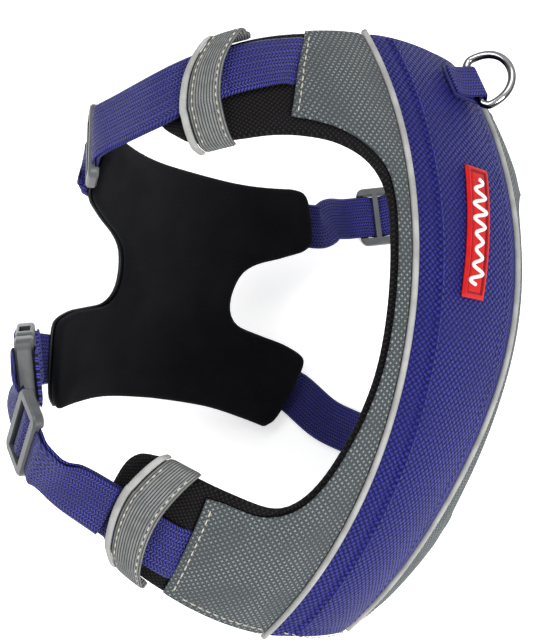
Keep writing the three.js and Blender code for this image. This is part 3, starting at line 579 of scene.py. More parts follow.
def stitch_row(line, out, pitch=4.0, length=3.1, radius=0.34):
    """Points and faces of a row of stitches along a line, each a short thread that dips at both ends."""
    verts, faces = [], []
    steps = run_lengths(line) * 1000
    turn = np.linspace(0, 2 * math.pi, THREAD_SIDES, endpoint=False)
    for i in range(max(1, int(length_of(line) * 1000 / pitch))):
        base = len(verts)
        faces += [tuple(base + k for k in face) for face in ring_faces(THREAD_SIDES, THREAD_RINGS)]
        for part in np.linspace(-1, 1, THREAD_RINGS):
            s = (i + 0.5) * pitch + part * length / 2
            p, n = read_off(s, steps, line), unit(read_off(s, steps, out))
            along = unit(read_off(s + 0.2, steps, line) - read_off(s - 0.2, steps, line))
            side = np.cross(along, n)
            size = radius * math.sqrt(max(0.08, 1 - part**4)) / 1000
            lift = n * (0.25 - 0.45 * part**2) / 1000
            for q in turn:
                verts.append(p + lift + side * size * math.cos(q) + n * size * 0.8 * math.sin(q))
    return verts, faces


def stitches(name, rows, material, slot, body):
    """One object for several rows of stitches; a row is (line, outward directions, options)."""
    verts, faces = [], []
    for line, out, options in rows:
        v, f = stitch_row(line, out, **options)
        faces += [tuple(i + len(verts) for i in face) for face in f]
        verts += v
    return finish_piece(mesh_object(name, verts, faces), material, slot, body)


# ---------------------------------------------------------------- materials


class Shader:
    """A small builder for one procedural material."""

    def __init__(self, name, colour, roughness=0.6, metallic=0.0, sheen=0.0, specular=0.5):
        self.material = bpy.data.materials.new(name)
        self.material.use_nodes = True
        self.tree = self.material.node_tree
        self.bsdf = self.tree.nodes["Principled BSDF"]
        self.bsdf.inputs["Base Color"].default_value = (*colour, 1)
        self.bsdf.inputs["Roughness"].default_value = roughness
        self.bsdf.inputs["Metallic"].default_value = metallic
        self.bsdf.inputs["Sheen Weight"].default_value = sheen
        self.bsdf.inputs["Sheen Roughness"].default_value = 0.4
        self.bsdf.inputs["Specular IOR Level"].default_value = specular
        self.coords = self.node("ShaderNodeTexCoord")

    def node(self, kind, **settings):
        made = self.tree.nodes.new(kind)
        for key, value in settings.items():
            setattr(made, key, value)
        return made

    def link(self, value, socket):
        """Sets a socket to a number or colour, or joins another node's output to it."""
        if isinstance(value, (int, float, tuple)):
            socket.default_value = value
        else:
            self.tree.links.new(value, socket)

    def math(self, operation, *values):
        made = self.node("ShaderNodeMath", operation=operation)
        for value, socket in zip(values, made.inputs):
            self.link(value, socket)
        return made.outputs[0]

    def pattern(self, across, along, turn=0.0):
        """Pattern coordinates counted in cells of that size in millimetres, turned by an angle."""
        mapping = self.node("ShaderNodeMapping")
        mapping.inputs["Rotation"].default_value = (0, 0, turn)
        self.link(self.coords.outputs["UV"], mapping.inputs["Vector"])
        split = self.node("ShaderNodeSeparateXYZ")
        self.link(mapping.outputs[0], split.inputs[0])
        return (self.math("MULTIPLY", split.outputs[0], 1000 / across),
                self.math("MULTIPLY", split.outputs[1], 1000 / along))

    def hump(self, u):
        """0 at whole numbers and 1 midway between them."""
        return self.math("ABSOLUTE", self.math("SINE", self.math("MULTIPLY", u, math.pi)))

    def checker(self, u, v):
        total = self.math("ADD", self.math("FLOOR", u), self.math("FLOOR", v))
        return self.math("FLOORED_MODULO", total, 2.0)

    def blend(self, fac, a, b):
        """A number between a and b."""
        made = self.node("ShaderNodeMix", data_type="FLOAT")
        self.link(fac, made.inputs[0])
        self.link(a, made.inputs[2])
        self.link(b, made.inputs[3])
        return made.outputs[0]

    def paint(self, fac, a, b):
        """A colour between a and b, each a colour or a socket."""
        made = self.node("ShaderNodeMix", data_type="RGBA")
        self.link(fac, made.inputs[0])
        for colour, socket in ((a, made.inputs[6]), (b, made.inputs[7])):
            self.link((*colour, 1) if isinstance(colour, tuple) else colour, socket)
        return made.outputs[2]

    def noise(self, size, detail=3.0):
        """Noise with features of about that size in millimetres."""
        made = self.node("ShaderNodeTexNoise")
        made.inputs["Scale"].default_value = 1000 / size
        made.inputs["Detail"].default_value = detail
        self.link(self.coords.outputs["Object"], made.inputs["Vector"])
        return made.outputs["Fac"]

    def ramp(self, value, low, high):
        """0 below low, 1 above high and smooth between them."""
        made = self.node("ShaderNodeMapRange")
        made.interpolation_type = "SMOOTHSTEP"
        for item, socket in zip((value, low, high, 0.0, 1.0), made.inputs):
            self.link(item, socket)
        return made.outputs[0]

    def colour(self, socket):
        self.link(socket, self.bsdf.inputs["Base Color"])

    def roughness(self, socket):
        self.link(socket, self.bsdf.inputs["Roughness"])

    def bump(self, height, depth):
        """Relief of that depth in millimetres."""
        made = self.node("ShaderNodeBump")
        made.inputs["Strength"].default_value = 1.0
        made.inputs["Distance"].default_value = depth / 1000
        self.link(height, made.inputs["Height"])
        self.link(made.outputs[0], self.bsdf.inputs["Normal"])


def woven(shader, u, v):
    """Height of a woven cloth: cells whose threads run one way and then the other."""
    over = shader.math("MULTIPLY", shader.hump(u), shader.blend(0.45, shader.hump(v), 1.0))
    under = shader.math("MULTIPLY", shader.hump(v), shader.blend(0.45, shader.hump(u), 1.0))
    return shader.blend(shader.checker(u, v), over, under)


def herringbone(shader, u, v):
    """Height of a webbing weave: columns of threads that slant one way and then the other."""
    odd = shader.math("FLOORED_MODULO", shader.math("FLOOR", u), 2.0)
    slant = shader.math("SUBTRACT", shader.math("MULTIPLY", odd, 2.0), 1.0)
    across = shader.math("SUBTRACT", shader.math("FRACT", u), 0.5)
    threads = shader.hump(shader.math("ADD", v, shader.math("MULTIPLY", across, slant)))
    return shader.math("MULTIPLY", threads, shader.math("POWER", shader.hump(u), 0.6))


def shade(colour, factor):
    return tuple(c * factor for c in colour)


def blue_nylon():
    base = (0.012, 0.0125, 0.135)
    s = Shader("blue_basket_weave", base, roughness=0.6, specular=0.16)
    u, v = s.pattern(2.1, 2.1, math.radians(45))
    height = woven(s, u, v)
    # Painted shade and highlight: the weave's hollows are painted darker and its thread tops lighter,
    # following the bump height.
    tone = s.paint(s.ramp(height, 0.15, 0.85), shade(base, 0.15), shade(base, 1.8))
    s.colour(s.paint(s.ramp(s.noise(30), 0.35, 0.7), tone, s.paint(0.5, tone, shade(base, 0.8))))
    s.roughness(s.blend(height, 0.75, 0.45))
    s.bump(height, 0.8)
    return s.material


def webbing():
    base = (0.024, 0.024, 0.15)
    s = Shader("ribbed_webbing", base, roughness=0.55, sheen=0.02, specular=0.2)
    u, v = s.pattern(1.8, 1.4)
    height = herringbone(s, u, v)
    # Painted shade and highlight: the grooves between the threads are painted darker and the thread tops
    # lighter, following the bump height.
    tone = s.paint(s.ramp(height, 0.2, 0.8), shade(base, 0.1), shade(base, 2.3))
    s.colour(s.paint(s.ramp(s.noise(18), 0.35, 0.7), tone, s.paint(0.5, tone, shade(base, 0.75))))
    s.bump(height, 0.6)
    return s.material


def grey_fabric():
    base = (0.066, 0.078, 0.083)
    s = Shader("grey_flecked_fabric", base, roughness=0.85, sheen=0.1, specular=0.25)
    u, v = s.pattern(1.05, 1.05, math.radians(52))
    height = woven(s, u, v)
    # Painted shade and highlight: the weave's hollows are painted darker and its thread tops lighter,
    # following the bump height; the pale flecks below are the fabric's own.
    tone = s.paint(s.ramp(height, 0.1, 0.85), shade(base, 0.4), shade(base, 1.25))
    dots = s.math("MULTIPLY", s.hump(s.math("MULTIPLY", u, 0.5)), s.hump(s.math("MULTIPLY", v, 0.5)))
    dots = s.ramp(dots, 0.72, 0.9)
    mixed = s.paint(s.math("MULTIPLY", dots, 0.9), tone, (0.3, 0.33, 0.33))
    s.colour(s.paint(s.ramp(s.noise(14), 0.4, 0.7), mixed, s.paint(0.5, mixed, shade(base, 0.8))))
    s.bump(s.math("ADD", height, s.math("MULTIPLY", dots, 0.6)), 0.35)
    return s.material


def elastic():
    base = (0.15, 0.155, 0.155)
    s = Shader("ribbed_elastic", base, roughness=0.8, sheen=0.05, specular=0.2)
    u, v = s.pattern(1.15, 0.8)
    ribs = s.math("MULTIPLY", s.hump(u), s.blend(0.35, 1.0, s.hump(v)))
    # Painted shade and highlight: the hollows between the ribs are painted darker and the rib tops lighter,
    # following the bump height.
    tone = s.paint(s.ramp(ribs, 0.15, 0.8), shade(base, 0.25), shade(base, 1.5))
    s.colour(s.paint(s.ramp(s.noise(4), 0.35, 0.7), tone, s.paint(0.4, tone, shade(base, 0.5))))
    s.bump(ribs, 0.4)
    return s.material


def neoprene(name, dots):
    base = (0.003, 0.003, 0.0042)
    s = Shader(name, base, roughness=0.9, sheen=0.01, specular=0.12)
    fine = s.noise(0.6, 4.0)
    tone = s.paint(s.ramp(s.noise(22), 0.35, 0.75), base, shade(base, 1.9))
    if dots:
        u, v = s.pattern(1.7, 1.7, math.radians(45))
        height = woven(s, u, v)
        # Painted highlight: the tops of the weave are painted a brownish grey, following the bump height.
        tone = s.paint(s.ramp(height, 0.55, 1.0), tone, (0.02, 0.017, 0.014))
        s.bump(height, 0.5)
    else:
        tone = s.paint(s.ramp(fine, 0.5, 0.75), tone, shade(base, 3.0))
        s.bump(fine, 0.35)
    s.colour(tone)
    return s.material


def piping_cord():
    base = (0.34, 0.34, 0.33)
    s = Shader("piping_cord", base, roughness=0.5, specular=0.4)
    u, v = s.pattern(0.8, 0.8, math.radians(35))
    height = s.math("MULTIPLY", s.hump(u), s.hump(v))
    s.colour(s.paint(s.ramp(s.noise(9), 0.3, 0.75), shade(base, 0.78), shade(base, 1.1)))
    s.bump(height, 0.08)
    return s.material


def plastic():
    base = (0.07, 0.075, 0.077)
    s = Shader("satin_plastic", base, roughness=0.4, specular=0.5)
    s.colour(s.paint(s.ramp(s.noise(7), 0.3, 0.75), shade(base, 0.85), shade(base, 1.15)))
    s.roughness(s.blend(s.noise(2.5), 0.3, 0.5))
    s.bump(s.noise(0.45), 0.05)
    return s.material


def steel():
    s = Shader("polished_steel", (0.68, 0.68, 0.7), roughness=0.1, metallic=1.0)
    split = s.node("ShaderNodeSeparateXYZ")
    s.link(s.coords.outputs["Normal"], split.inputs[0])
    # Painted reflection: surfaces facing sideways are painted near black as dark studio reflections, and
    # surfaces facing up or down keep a bright, mottled steel colour.
    painted_reflection_mask = s.ramp(s.math("ABSOLUTE", split.outputs[2]), 0.72, 1.0)
    bright_mottled_steel = s.paint(s.ramp(s.noise(6), 0.3, 0.75), (0.62, 0.62, 0.64), (0.78, 0.78, 0.8))
    s.colour(s.paint(painted_reflection_mask, (0.07, 0.066, 0.066), bright_mottled_steel))
    s.roughness(s.blend(s.noise(1.5), 0.05, 0.22))
    s.bump(s.noise(3.0), 0.02)
    return s.material


def moulded(name, base, roughness, grain):
    s = Shader(name, base, roughness=roughness, specular=0.25)
    s.colour(s.paint(s.ramp(s.noise(5), 0.3, 0.75), shade(base, 0.86), shade(base, 1.08)))
    s.roughness(s.blend(s.noise(2.0), roughness - 0.08, roughness + 0.1))
    s.bump(s.noise(grain), 0.06)
    return s.material


def label_rubber():
    base = (0.5, 0.002, 0.003)
    s = Shader("red_rubber", base, roughness=0.55, specular=0.25)
    x, y = s.pattern(1.0, 1.0)
    beside = s.math("SUBTRACT", LABEL["width"] / 2, s.math("ABSOLUTE", x))
    beyond = s.math("SUBTRACT", LABEL["length"] / 2, s.math("ABSOLUTE", y))
    edge = s.math("MINIMUM", beside, beyond)
    # Painted shade: the sunken groove between the raised rim and the raised middle is painted darker.
    painted_groove_shade = s.math("MULTIPLY", s.ramp(edge, 1.7, 2.1), s.math("SUBTRACT", 1.0, s.ramp(edge, 2.7, 3.1)))
    tone = s.paint(s.ramp(s.noise(5), 0.3, 0.75), shade(base, 0.86), shade(base, 1.08))
    s.colour(s.paint(painted_groove_shade, tone, shade(base, 0.35)))
    s.bump(s.noise(0.6), 0.06)
    return s.material


def thread(name, base):
    s = Shader(name, base, roughness=0.7, sheen=0.1)
    s.colour(s.paint(s.ramp(s.noise(3), 0.3, 0.7), shade(base, 0.8), base))
    s.bump(s.noise(0.4), 0.1)
    return s.material


BLUE = blue_nylon()
WEBBING = webbing()
GREY = grey_fabric()
ELASTIC = elastic()
LINER = neoprene("neoprene_with_dots", True)
CHEST = neoprene("neoprene_smooth", False)
SKIN = moulded("chest_outer_skin", (0.008, 0.009, 0.011), 0.42, 0.9)
PIPING = piping_cord()
PLASTIC = plastic()
STEEL = steel()
RED = label_rubber()
PRINT = moulded("pale_rubber", (0.8, 0.79, 0.76), 0.5, 0.6)
CREAM = thread("cream_thread", (0.5, 0.46, 0.37))
DARK_BLUE = thread("blue_thread", (0.03, 0.03, 0.2))

# ---------------------------------------------------------------- back panel

LINER_HALF = [
    [(0, 109), (20, 108.4), (60, 106.5), (100, 106), (130, 104)],
    [(130, 104), (140, 98), (144.5, 87), (142.5, 72), (134, 57)],
    [(134, 57), (125, 50.5), (109, 48.6), (95, 48.2), (82, 46.5), (68, 43), (56, 36.5), (49, 28),
     (45.8, 17), (45.2, 0), (45.2, -50), (47.5, -76), (51.5, -98), (56, -115), (62, -126), (71, -131.5),
     (90, -132), (110, -132), (124, -132)],
    [(124, -132), (132, -137), (136, -146), (136.5, -160), (134, -180), (128, -193), (118, -199)],
    [(118, -199), (90, -198.5), (60, -198.2), (0, -198.2)],
]
SHELL_OUTLINE = [
    [(35.9, GIRTH_END), (60, -195.6)],
    [(88.5, -194.5), (93, -165)],
    [(96.5, -136.5), (88, -135.2), (74, -135), (64, -130.5), (57.5, -123), (53, -112), (49.5, -97),
     (45.5, -75), (43, -50), (42.6, 0), (43.2, 18), (46, 30), (53, 38.8), (64, 46.2), (76, 50.8)],
    [(86, 53.5), (77, 80)],
    [(66.5, 102.5), (50, 103.5)],
    [(35.9, 104.2)],
]
CHEST_HALF = [
    [(0, 78.5), (26, 78.8), (44, 80.5), (58, 83)],
    [(58, 83), (65, 82.5), (69, 77), (74, 62), (75, 54), (71, 48.5)],
    [(71, 48.5), (60, 42), (48, 35.5), (41, 28), (38, 16), (39.5, 6), (46, -0.5), (58, -3.6), (70, -6),
     (78, -9)],
    [(78, -9), (83, -13), (82.5, -22), (78, -40), (74, -51), (69, -56)],
    [(69, -56), (56, -53), (34, -49.5), (0, -48.5)],
]
SEAM_AT = 22.0


def on_body(sign=1):
    return lambda a, s, lift: body_mm(s, sign * a, lift)


def back_liner():
    rim = outline(both_sides(LINER_HALF), 3.2)

    def shape(x, y, z):
        d = rim_distance(x, y, rim)
        inner = z < (LINER_LIFT[0] + LINER_LIFT[1]) / 2
        swell = 1.5 * smoothstep(d, 2, 16)
        return np.where(inner, z - swell, np.minimum(z, LINER_LIFT[1] + 0.2))

    obj = pad("liner_pad", rim, *LINER_LIFT, 5, (1, 2.9), shape, on_body(), cloth=(4, 1.2))
    parts = [f"liner_{end}_{side}" for end in ARMS for side in SIDES]
    finish_piece(obj, LINER, "neoprene", "harness", "liner_waist", *parts)


def end_bow(a):
    return 1 - (a / SPINE_HALF) ** 2


def spine_relief(a, s):
    """Puff of the blue panel over its flat top, with its folded seams and its hem pressed in."""
    beyond = np.abs(a) - SEAM_AT
    seam = 1.2 * np.exp(-(beyond**2)) + 0.55 * smoothstep(np.abs(a), SEAM_AT, SEAM_AT + 1)
    hem = 0.7 * np.exp(-(((s - GIRTH_END - 10) / 1.3) ** 2))
    return CROWN * (1 - (a / SPINE_HALF) ** 4) - seam - hem


def spine_panel():
    xs = np.linspace(-SPINE_HALF, SPINE_HALF, 28)
    top = [(x, NECK_END + 3.5 * end_bow(x)) for x in xs[::-1]]
    bottom = [(x, GIRTH_END + 2.5 * end_bow(x)) for x in xs]
    sides = [np.linspace(a, b, 100)[1:-1] for a, b in ((bottom[-1], top[0]), (top[-1], bottom[0]))]
    rim = np.array([*bottom, *sides[0], *top, *sides[1]])

    def shape(x, y, z):
        inside = smoothstep(rim_distance(x, y, rim), 0, 4)
        return np.where(z > 0.8, z + spine_relief(x, y) * inside, z)

    obj = pad("blue_panel", rim, 0.05, SHELL_LIFT[1], 2.2, (0.4, 0.9), shape, on_body(), smooth=0)
    finish_piece(obj, BLUE, "blue_nylon", "harness", "spine_panel")
    rows = []
    for at in (SEAM_AT - 2.2, 2.2 - SEAM_AT):
        s = np.linspace(GIRTH_END + 12, NECK_END - 2, 200)
        lift = SHELL_LIFT[1] + spine_relief(at, s)
        rows.append(lifted_row(np.full(200, at), s, lift, pitch=3.4, length=2.4, radius=0.3))
    stitches("panel_seam_stitches", rows, DARK_BLUE, "blue_nylon", "harness")
    a, s = np.linspace(-28, 28, 60), np.full(60, GIRTH_END + 5.0)
    row = lifted_row(a, s, SHELL_LIFT[1] + spine_relief(a, s), pitch=4.2)
    stitches("panel_hem_stitches", [row], CREAM, "piping", "harness")


def lifted_row(a, s, lift, sign=1, **options):
    """A stitch row on the body form, through pattern points at the given lifts."""
    line = resample(np.column_stack(np.broadcast_arrays(a, s, lift)).astype(float), 300)
    p = to_row(body_mm(line[:, 1], sign * line[:, 0], line[:, 2]))
    out = to_row(body_mm(line[:, 1], sign * line[:, 0], line[:, 2] + 1)) - p
    return p, out, options


def side_panel(side, sign):
    rim = outline(SHELL_OUTLINE, 2)

    def shape(x, y, z):
        d = rim_distance(x, y, rim)
        seam = 0.3 * np.exp(-(((d - 3.2) / 0.8) ** 2))
        return np.where(z > 0.8, z + 0.5 * smoothstep(d, 4, 14) - seam, z)

    name = f"grey_panel_{side}"
    obj = pad(name, rim, 0.05, SHELL_LIFT[1], 2.8, (0.35, 0.8), shape, on_body(sign), smooth=0)
    finish_piece(obj, GREY, "grey_mesh", "harness", f"side_panel_{side}")
    rows = [lifted_row(a, s, 1.5, sign) for a, s in (
        ([82.8, 74.5, 65.8], [55, 80, 99]), ([85.4, 89.6, 92.8], [-190.5, -165, -139.2]),
        ([37.5, 60, 83], [-192.2, -192, -191.2]))]
    stitches(f"grey_panel_stitches_{side}", rows, CREAM, "piping", "harness")


def piping_line(side, sign):
    s = np.linspace(GIRTH_END - 0.8, NECK_END + 0.8, 150)
    line = to_row(body_mm(s, sign * PIPING_AT, PIPING_RADIUS + 0.1))
    obj = tube(f"piping_cord_{side}", line, PIPING_RADIUS, 12)
    finish_piece(obj, PIPING, "piping", "harness", f"piping_{side}")


# ---------------------------------------------------------------- keepers

KEEPER_RISE = 4.4
KEEPER_THICKNESS = 1.2


def keeper_path(arm):
    """The band's path over the arm: (y, lift) points, as a dense smooth line."""
    low, high = ((s - arm["s"]) / ARM_SPREAD for s in arm["edges"])
    y0, y1, half = low - 1.2, high + 1.2, WEBBING_WIDTH / 2
    profile = [
        (y0, -5.2), (y0, -1.4), (y0 + 1.4, 0.4), (-half - 2.4, KEEPER_RISE - 1), (-half, KEEPER_RISE),
        (0, KEEPER_RISE + 0.3), (half, KEEPER_RISE), (half + 2.4, KEEPER_RISE - 1), (y1 - 1.4, 0.4),
        (y1, -1.4), (y1, -5.2),
    ]
    kept = [p for i, p in enumerate(profile) if i in (0, len(profile) - 1) or y0 <= p[0] <= y1]
    kept.sort(key=lambda p: (p[0], p[1] if p[0] < 0 else -p[1]))
    dense = spline_run(kept, 0.6)
    return resample(dense, 90)


def band(name, arm, sign, x0, x1, thick, rounding):
    """A band over the arm, between x0 and x1 along it, with rounded edges."""
    path = keeper_path(arm)
    along = unit(np.gradient(path, axis=0))
    section = section_ring(2, 0, 1, 11, rounding)
    k, n = len(section), len(path)
    x = np.tile((x0 + x1) / 2 + section[:, 0] * (x1 - x0) / 2, (n, 1))
    off = np.tile(section[:, 1] * thick, (n, 1))
    y = path[:, :1] - along[:, 1:] * off
    lift = path[:, 1:] + along[:, :1] * off
    points = to_row(arm_mm(arm, sign, x, y, lift)).reshape(-1, 3)
    uv = np.stack([x.ravel(), np.repeat(run_lengths(path), k)], -1) / 1000
    return mesh_object(name, points, ring_faces(k, n), uv)


def keeper(end, side):
    arm, sign = ARMS[end], SIDES[side]
    x0, x1 = arm["keeper"]
    name = f"{end}_{side}"
    obj = band(f"elastic_{name}", arm, sign, x0, x1, KEEPER_THICKNESS, 8)
    finish_piece(obj, ELASTIC, "grey_elastic", "harness", f"{name}_keeper")
    obj = band(f"elastic_edge_{name}", arm, sign, x1 + 0.2, x1 + 3.3, KEEPER_THICKNESS + 0.5, 2)
    finish_piece(obj, PIPING, "piping", "harness", f"{name}_keeper_piping")
    path = keeper_path(arm)[6:-6]
    rows = []
    for x in (x0 + 2.0, x1 - 2.2):
        p = to_row(arm_mm(arm, sign, x, path[:, 0], path[:, 1] + KEEPER_THICKNESS - 0.1))
        out = to_row(arm_mm(arm, sign, x, path[:, 0], path[:, 1] + KEEPER_THICKNESS + 1)) - p
        rows.append((p, out, {"pitch": 3.6, "length": 2.4}))
    stitches(f"elastic_stitches_{name}", rows, CREAM, "piping", "harness")


# ---------------------------------------------------------------- webbing

WEAVE_RISE = 2.8
SLIDER_HALF = 11.0
MAIN_SKEW = {"neck": -0.56, "girth": 0.22}


def strap_frames(strap, s, lift=0.0, skew=0.0):
    """Frames at lengths s. A main strap rises over its slider's bar and starts sunk under the shell's edge."""
    p, n, t, w = strap.at(s)
    p = p + t * np.minimum(0, s)[:, None]
    rise = np.full(len(s), lift)
    if strap.weave is not None and not lift:
        rise += WEAVE_RISE * smoothstep(6.2 - np.abs(s - strap.weave), 0, 4.2)
        rise -= 1.9 * smoothstep(3.5 - s, 0, 5)
    shift = skew * np.clip(1 - (s - 2.4) / 20, 0, 1)
    return p, n, t, w, shift, rise, s


def ribbon(name, strap, s, body, *nodes, lift=0.0, skew=0.0):
    section = section_ring(WEBBING_WIDTH, 0, WEBBING_THICKNESS, 21)
    obj = sweep(name, strap_frames(strap, s, lift, skew), section)
    return finish_piece(obj, WEBBING, "webbing", body, *nodes)


def straps():
    for name, strap in STRAPS.items():
        end, side = name.split("_")
        skew = SIDES[side] * MAIN_SKEW[end]
        s = np.concatenate([[-6, -4.5, -3, -1.5, 0, 1.2], strap.stations(2.4, strap.length, 2.2)])
        ribbon(f"webbing_{name}", strap, s, "harness", f"{name}_strap", skew=skew)
        s = strap.stations(34, strap.weave - SLIDER_HALF - 0.4, 2.2)
        ribbon(f"webbing_tail_{name}", strap, s, "harness", f"{name}_tail", lift=WEBBING_THICKNESS + 0.5)
    buckle_tab()


def buckle_tab():
    """The short strap from the socket to the chest plate, whose sewn end stays on the plate."""
    s = BUCKLE_TAB.stations(0, BUCKLE_TAB.length, 2.2)
    section = section_ring(WEBBING_WIDTH, 0, WEBBING_THICKNESS, 21)
    obj = sweep("webbing_buckle_tab", strap_frames(BUCKLE_TAB, s), section)
    obj.data.materials.append(WEBBING)
    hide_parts("buckle_tab")
    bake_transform(obj)


# ---------------------------------------------------------------- rings and their tabs

TAB_WIDTH, TAB_REACH, BAR_HEIGHT = 19.0, 15.0, 4.3
RING_WIRE, RING_HALF, RING_REACH = 3.8, 14.0, 18.0


def back_frame():
    s, a = 84.0, -4.0
    lift = crown_lift(a) + GAP
    origin = body_mm(s, a, lift)
    x = unit(body_mm(s, a - 12, lift) - body_mm(s, a + 4, lift))
    z = unit(body_mm(s, a - 4, 5) - body_mm(s, a - 4, 0))
    z = unit(z - x * np.dot(z, x))
    return origin, x, np.cross(z, x), z


def front_frame():
    origin = chest_mm(0, 24, CHEST_STRAP)
    x = unit(chest_mm(0, 60, 0) - chest_mm(0, 40, 0))
    y = unit(chest_mm(0, 0, 0) - chest_mm(5, 0, 0))
    z = unit(chest_mm(0, 0, -5) - chest_mm(0, 0, 0))
    return origin, x, y, z


def in_frame(where, local):
    origin, x, y, z = where
    local = np.asarray(local, float)
    return to_row(origin + local[:, :1] * x + local[:, 1:2] * y + local[:, 2:3] * z)


def ring_and_tab(name, where, turn):
    bar = [(0, y, 0) for y in np.linspace(-RING_HALF + 2.5, RING_HALF - 2.5, 12)]
    bow = []
    for t in np.linspace(0.5, -0.5, 48) * math.pi:
        bow.append((2.5 + (RING_REACH - 2.5) * max(0, math.cos(t)) ** 0.8, RING_HALF * math.sin(t), 0))
    ring = np.array(bar + bow)
    x = ring[:, 0] * math.cos(turn) + TAB_REACH
    z = -ring[:, 0] * math.sin(turn) + BAR_HEIGHT
    points = in_frame(where, np.stack([x, ring[:, 1], z], -1))
    smooth = np.vstack([points, points[:1]])
    smooth = resample(smooth, 110)[:-1]
    for _ in range(2):
        smooth = (np.roll(smooth, 1, axis=0) + 2 * smooth + np.roll(smooth, -1, axis=0)) / 4
    obj = tube(f"{name}_steel", smooth, RING_WIRE / 2, 16, closed=True)
    finish_piece(obj, STEEL, "ring_steel", name, name)
    tab(name, where)


def tab(name, where):
    path = [(0, 1.1), (TAB_REACH * 0.55, 1.1)]
    for i in range(9):
        t = -math.pi / 2 + math.pi * i / 8
        path.append((TAB_REACH + 3 * math.cos(t), BAR_HEIGHT + 3 * math.sin(t)))
    path += [(TAB_REACH * 0.45, 3.6), (0, 2.95)]
    line = resample(spline_run(path, 0.5), 60)
    along = unit(np.gradient(line, axis=0))
    section = section_ring(TAB_WIDTH, -WEBBING_THICKNESS / 2, WEBBING_THICKNESS / 2, 15)
    k, n = len(section), len(line)
    x = line[:, :1] + along[:, 1:] * section[None, :, 1]
    z = line[:, 1:] - along[:, :1] * section[None, :, 1]
    y = np.tile(section[:, 0], (n, 1))
    points = in_frame(where, np.stack([x.ravel(), y.ravel(), z.ravel()], -1))
    uv = np.stack([y.ravel(), np.repeat(run_lengths(line), k)], -1) / 1000
    obj = mesh_object(f"{name}_webbing_tab", points, ring_faces(k, n), uv)
    finish_piece(obj, WEBBING, "webbing", "harness", f"{name}_tab")


# ---------------------------------------------------------------- plastic hardware


def softened(node, body, radius):
    """The CAD node's shape with its sharp edges rounded, as moulded plastic has them."""
    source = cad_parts[node]
    bm = bmesh.new()
    bm.from_mesh(source.data)
    bmesh.ops.remove_doubles(bm, verts=bm.verts, dist=2e-5)
    bmesh.ops.dissolve_limit(bm, angle_limit=math.radians(2), verts=bm.verts, edges=bm.edges)
    mesh = bpy.data.meshes.new(f"{node}_moulded")
    bm.to_mesh(mesh)
    bm.free()
    obj = bpy.data.objects.new(f"{node}_moulded", mesh)
    bpy.context.scene.collection.objects.link(obj)
    bevel = obj.modifiers.new("edges", "BEVEL")
    bevel.width = radius / 1000
    bevel.segments = 3
    bevel.limit_method = "ANGLE"
    bevel.angle_limit = math.radians(25)
    swap_mesh(obj, evaluated(obj))
    obj.data.shade_smooth()
    sharp = obj.modifiers.new("shade", "WEIGHTED_NORMAL")
    sharp.keep_sharp = True
    finish_piece(obj, PLASTIC, "grey_plastic", body, node)


# ---------------------------------------------------------------- label


def label_mm(x, y, lift):
    a = LABEL["a"] + x + LABEL["lean"] * y
    return body_mm(LABEL["s"] + y, a, crown_lift(a) + GAP + lift)


def label():
    w, l = LABEL["width"] / 2, LABEL["length"] / 2
    corners = np.array([(-w, -l), (w, -l), (w, l), (-w, l), (-w, -l)])
    rim = np.vstack([resample(corners[i : i + 2], n)[:-1] for i, n in enumerate((16, 72, 16, 72))])

    def shape(x, y, z):
        d = rim_distance(x, y, rim)
        border = 0.55 * (smoothstep(d, 0.5, 0.9) - smoothstep(d, 1.9, 2.3)) + 0.3 * smoothstep(d, 2.9, 3.3)
        return np.where(z > 0.6, np.minimum(z, 1.0) + border, z)

    obj = pad("rubber_label", rim, 0.05, 1.05, 0.5, (0.15, 0.3), shape, label_mm, smooth=0)
    finish_piece(obj, RED, "label_rubber", "harness", "label")
    u = np.linspace(0, 1, 220)
    y = 48 * (u - 0.5)
    x = 3.6 * np.sin(u * 14 * math.pi) * (0.75 + 0.25 * np.cos(u * 9))
    obj = tube("label_wave_ridge", to_row(label_mm(x, y, 1.45)), 0.85, 10)
    finish_piece(obj, PRINT, "label_print", "harness", "label_wave")


# ---------------------------------------------------------------- chest plate


SKIN_INSET = 1.5


def unshaped(x, y, z):
    return z


def chest_plate():
    rim = outline(both_sides(CHEST_HALF), 3.2)

    def shape(x, y, z):
        swell = 1.4 * smoothstep(rim_distance(x, y, rim), 2, 18)
        return np.where(z > -2.5, z + swell, np.maximum(z, -5.2))

    obj = pad("chest_pad", rim, -5, 0, 5, (0.9, 2.5), shape, chest_mm, cloth=(4, 1.0))
    finish_piece(obj, CHEST, "neoprene", "harness", "chest_liner")
    narrow, short, middle = 1 - SKIN_INSET / 80, 1 - SKIN_INSET / 65, 14
    inset = [[(l * narrow, middle + (m - middle) * short) for l, m in run] for run in CHEST_HALF]
    rim = outline(both_sides(inset), 3)
    obj = pad("chest_outer_skin", rim, *CHEST_SKIN, 5, (0.35, 0.75), unshaped, chest_mm, smooth=0)
    finish_piece(obj, SKIN, "chest_skin", "harness", "chest_shell")


# ---------------------------------------------------------------- stage


def area_light(name, place, aim, size, power):
    light = bpy.data.lights.new(name, "AREA")
    light.shape = "DISK"
    light.size = size
    light.energy = power
    obj = bpy.data.objects.new(name, light)
    obj.location = place
    obj.rotation_euler = (Vector(aim) - Vector(place)).to_track_quat("-Z", "Y").to_euler()
    bpy.context.scene.collection.objects.link(obj)


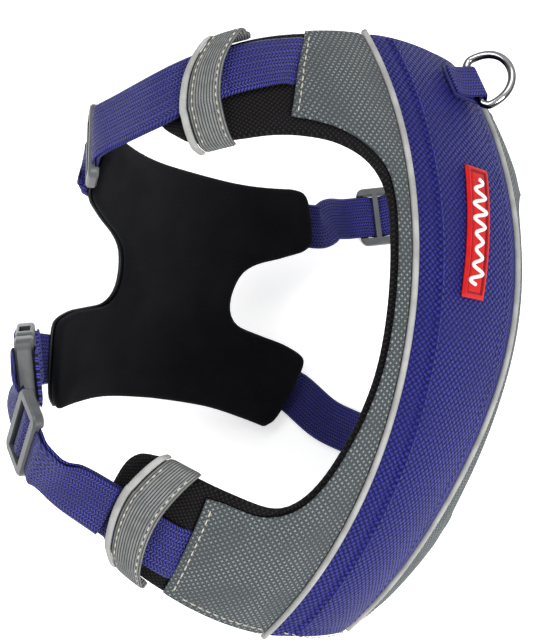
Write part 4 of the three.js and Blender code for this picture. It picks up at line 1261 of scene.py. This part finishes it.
def studio():
    points = [(-3, -3, 0), (3, -3, 0), (3, 3, 0), (-3, 3, 0)]
    floor = mesh_object("floor", points, [(0, 1, 2, 3)])
    s = Shader("pale_floor", (0.9, 0.9, 0.9), roughness=0.9, specular=0.1)
    s.colour(s.paint(s.noise(400), (0.9, 0.9, 0.9), (0.94, 0.94, 0.94)))
    s.bsdf.inputs["Emission Color"].default_value = (1, 1, 1, 1)
    s.bsdf.inputs["Emission Strength"].default_value = 0.55
    floor.data.materials.append(s.material)
    world = bpy.data.worlds.new("studio")
    world.use_nodes = True
    world.node_tree.nodes["Background"].inputs[0].default_value = (1, 1, 1, 1)
    world.node_tree.nodes["Background"].inputs[1].default_value = 0.45
    bpy.context.scene.world = world
    bpy.context.scene.view_settings.view_transform = "Standard"
    area_light("key", (0.7, -0.9, 1.3), (0, 0, 0.1), 0.6, 27)
    area_light("fill", (-1.0, 0.5, 1.2), (0, 0, 0.1), 1.0, 11)
    area_light("top", (0.1, 0.9, 1.4), (0, 0, 0.1), 1.0, 6)


CAMERA_PLACE = np.array([14.96, -114.53, 663.95])
CAMERA_AXES = ((0.99967, 0, -0.02561), (0.00493, 0.98132, 0.19234), (0.02513, -0.1924, 0.98099))


def camera():
    data = bpy.data.cameras.new("camera")
    data.lens = 64.3
    data.sensor_width = 36
    data.sensor_fit = "AUTO"
    data.clip_start = 0.01
    turn = Matrix(CAMERA_AXES).transposed().to_4x4()
    obj = bpy.data.objects.new("camera", data)
    obj.matrix_world = Matrix.Translation(Vector(to_row(CAMERA_PLACE))) @ turn
    bpy.context.scene.collection.objects.link(obj)
    bpy.context.scene.camera = obj


camera()
studio()
back_liner()
spine_panel()
for side_name, side_sign in SIDES.items():
    side_panel(side_name, side_sign)
    piping_line(side_name, side_sign)
    for end_name in ARMS:
        keeper(end_name, side_name)
        softened(f"{end_name}_{side_name}_slider", "harness", 0.7)
straps()
ring_and_tab("back_ring", back_frame(), -1.15)
ring_and_tab("front_ring", front_frame(), -0.15)
softened("buckle_socket", "socket", 0.6)
softened("buckle_plug", "harness", 0.6)
softened("buckle_prong_a", "prong_a", 0.4)
softened("buckle_prong_b", "prong_b", 0.4)
label()
chest_plate()
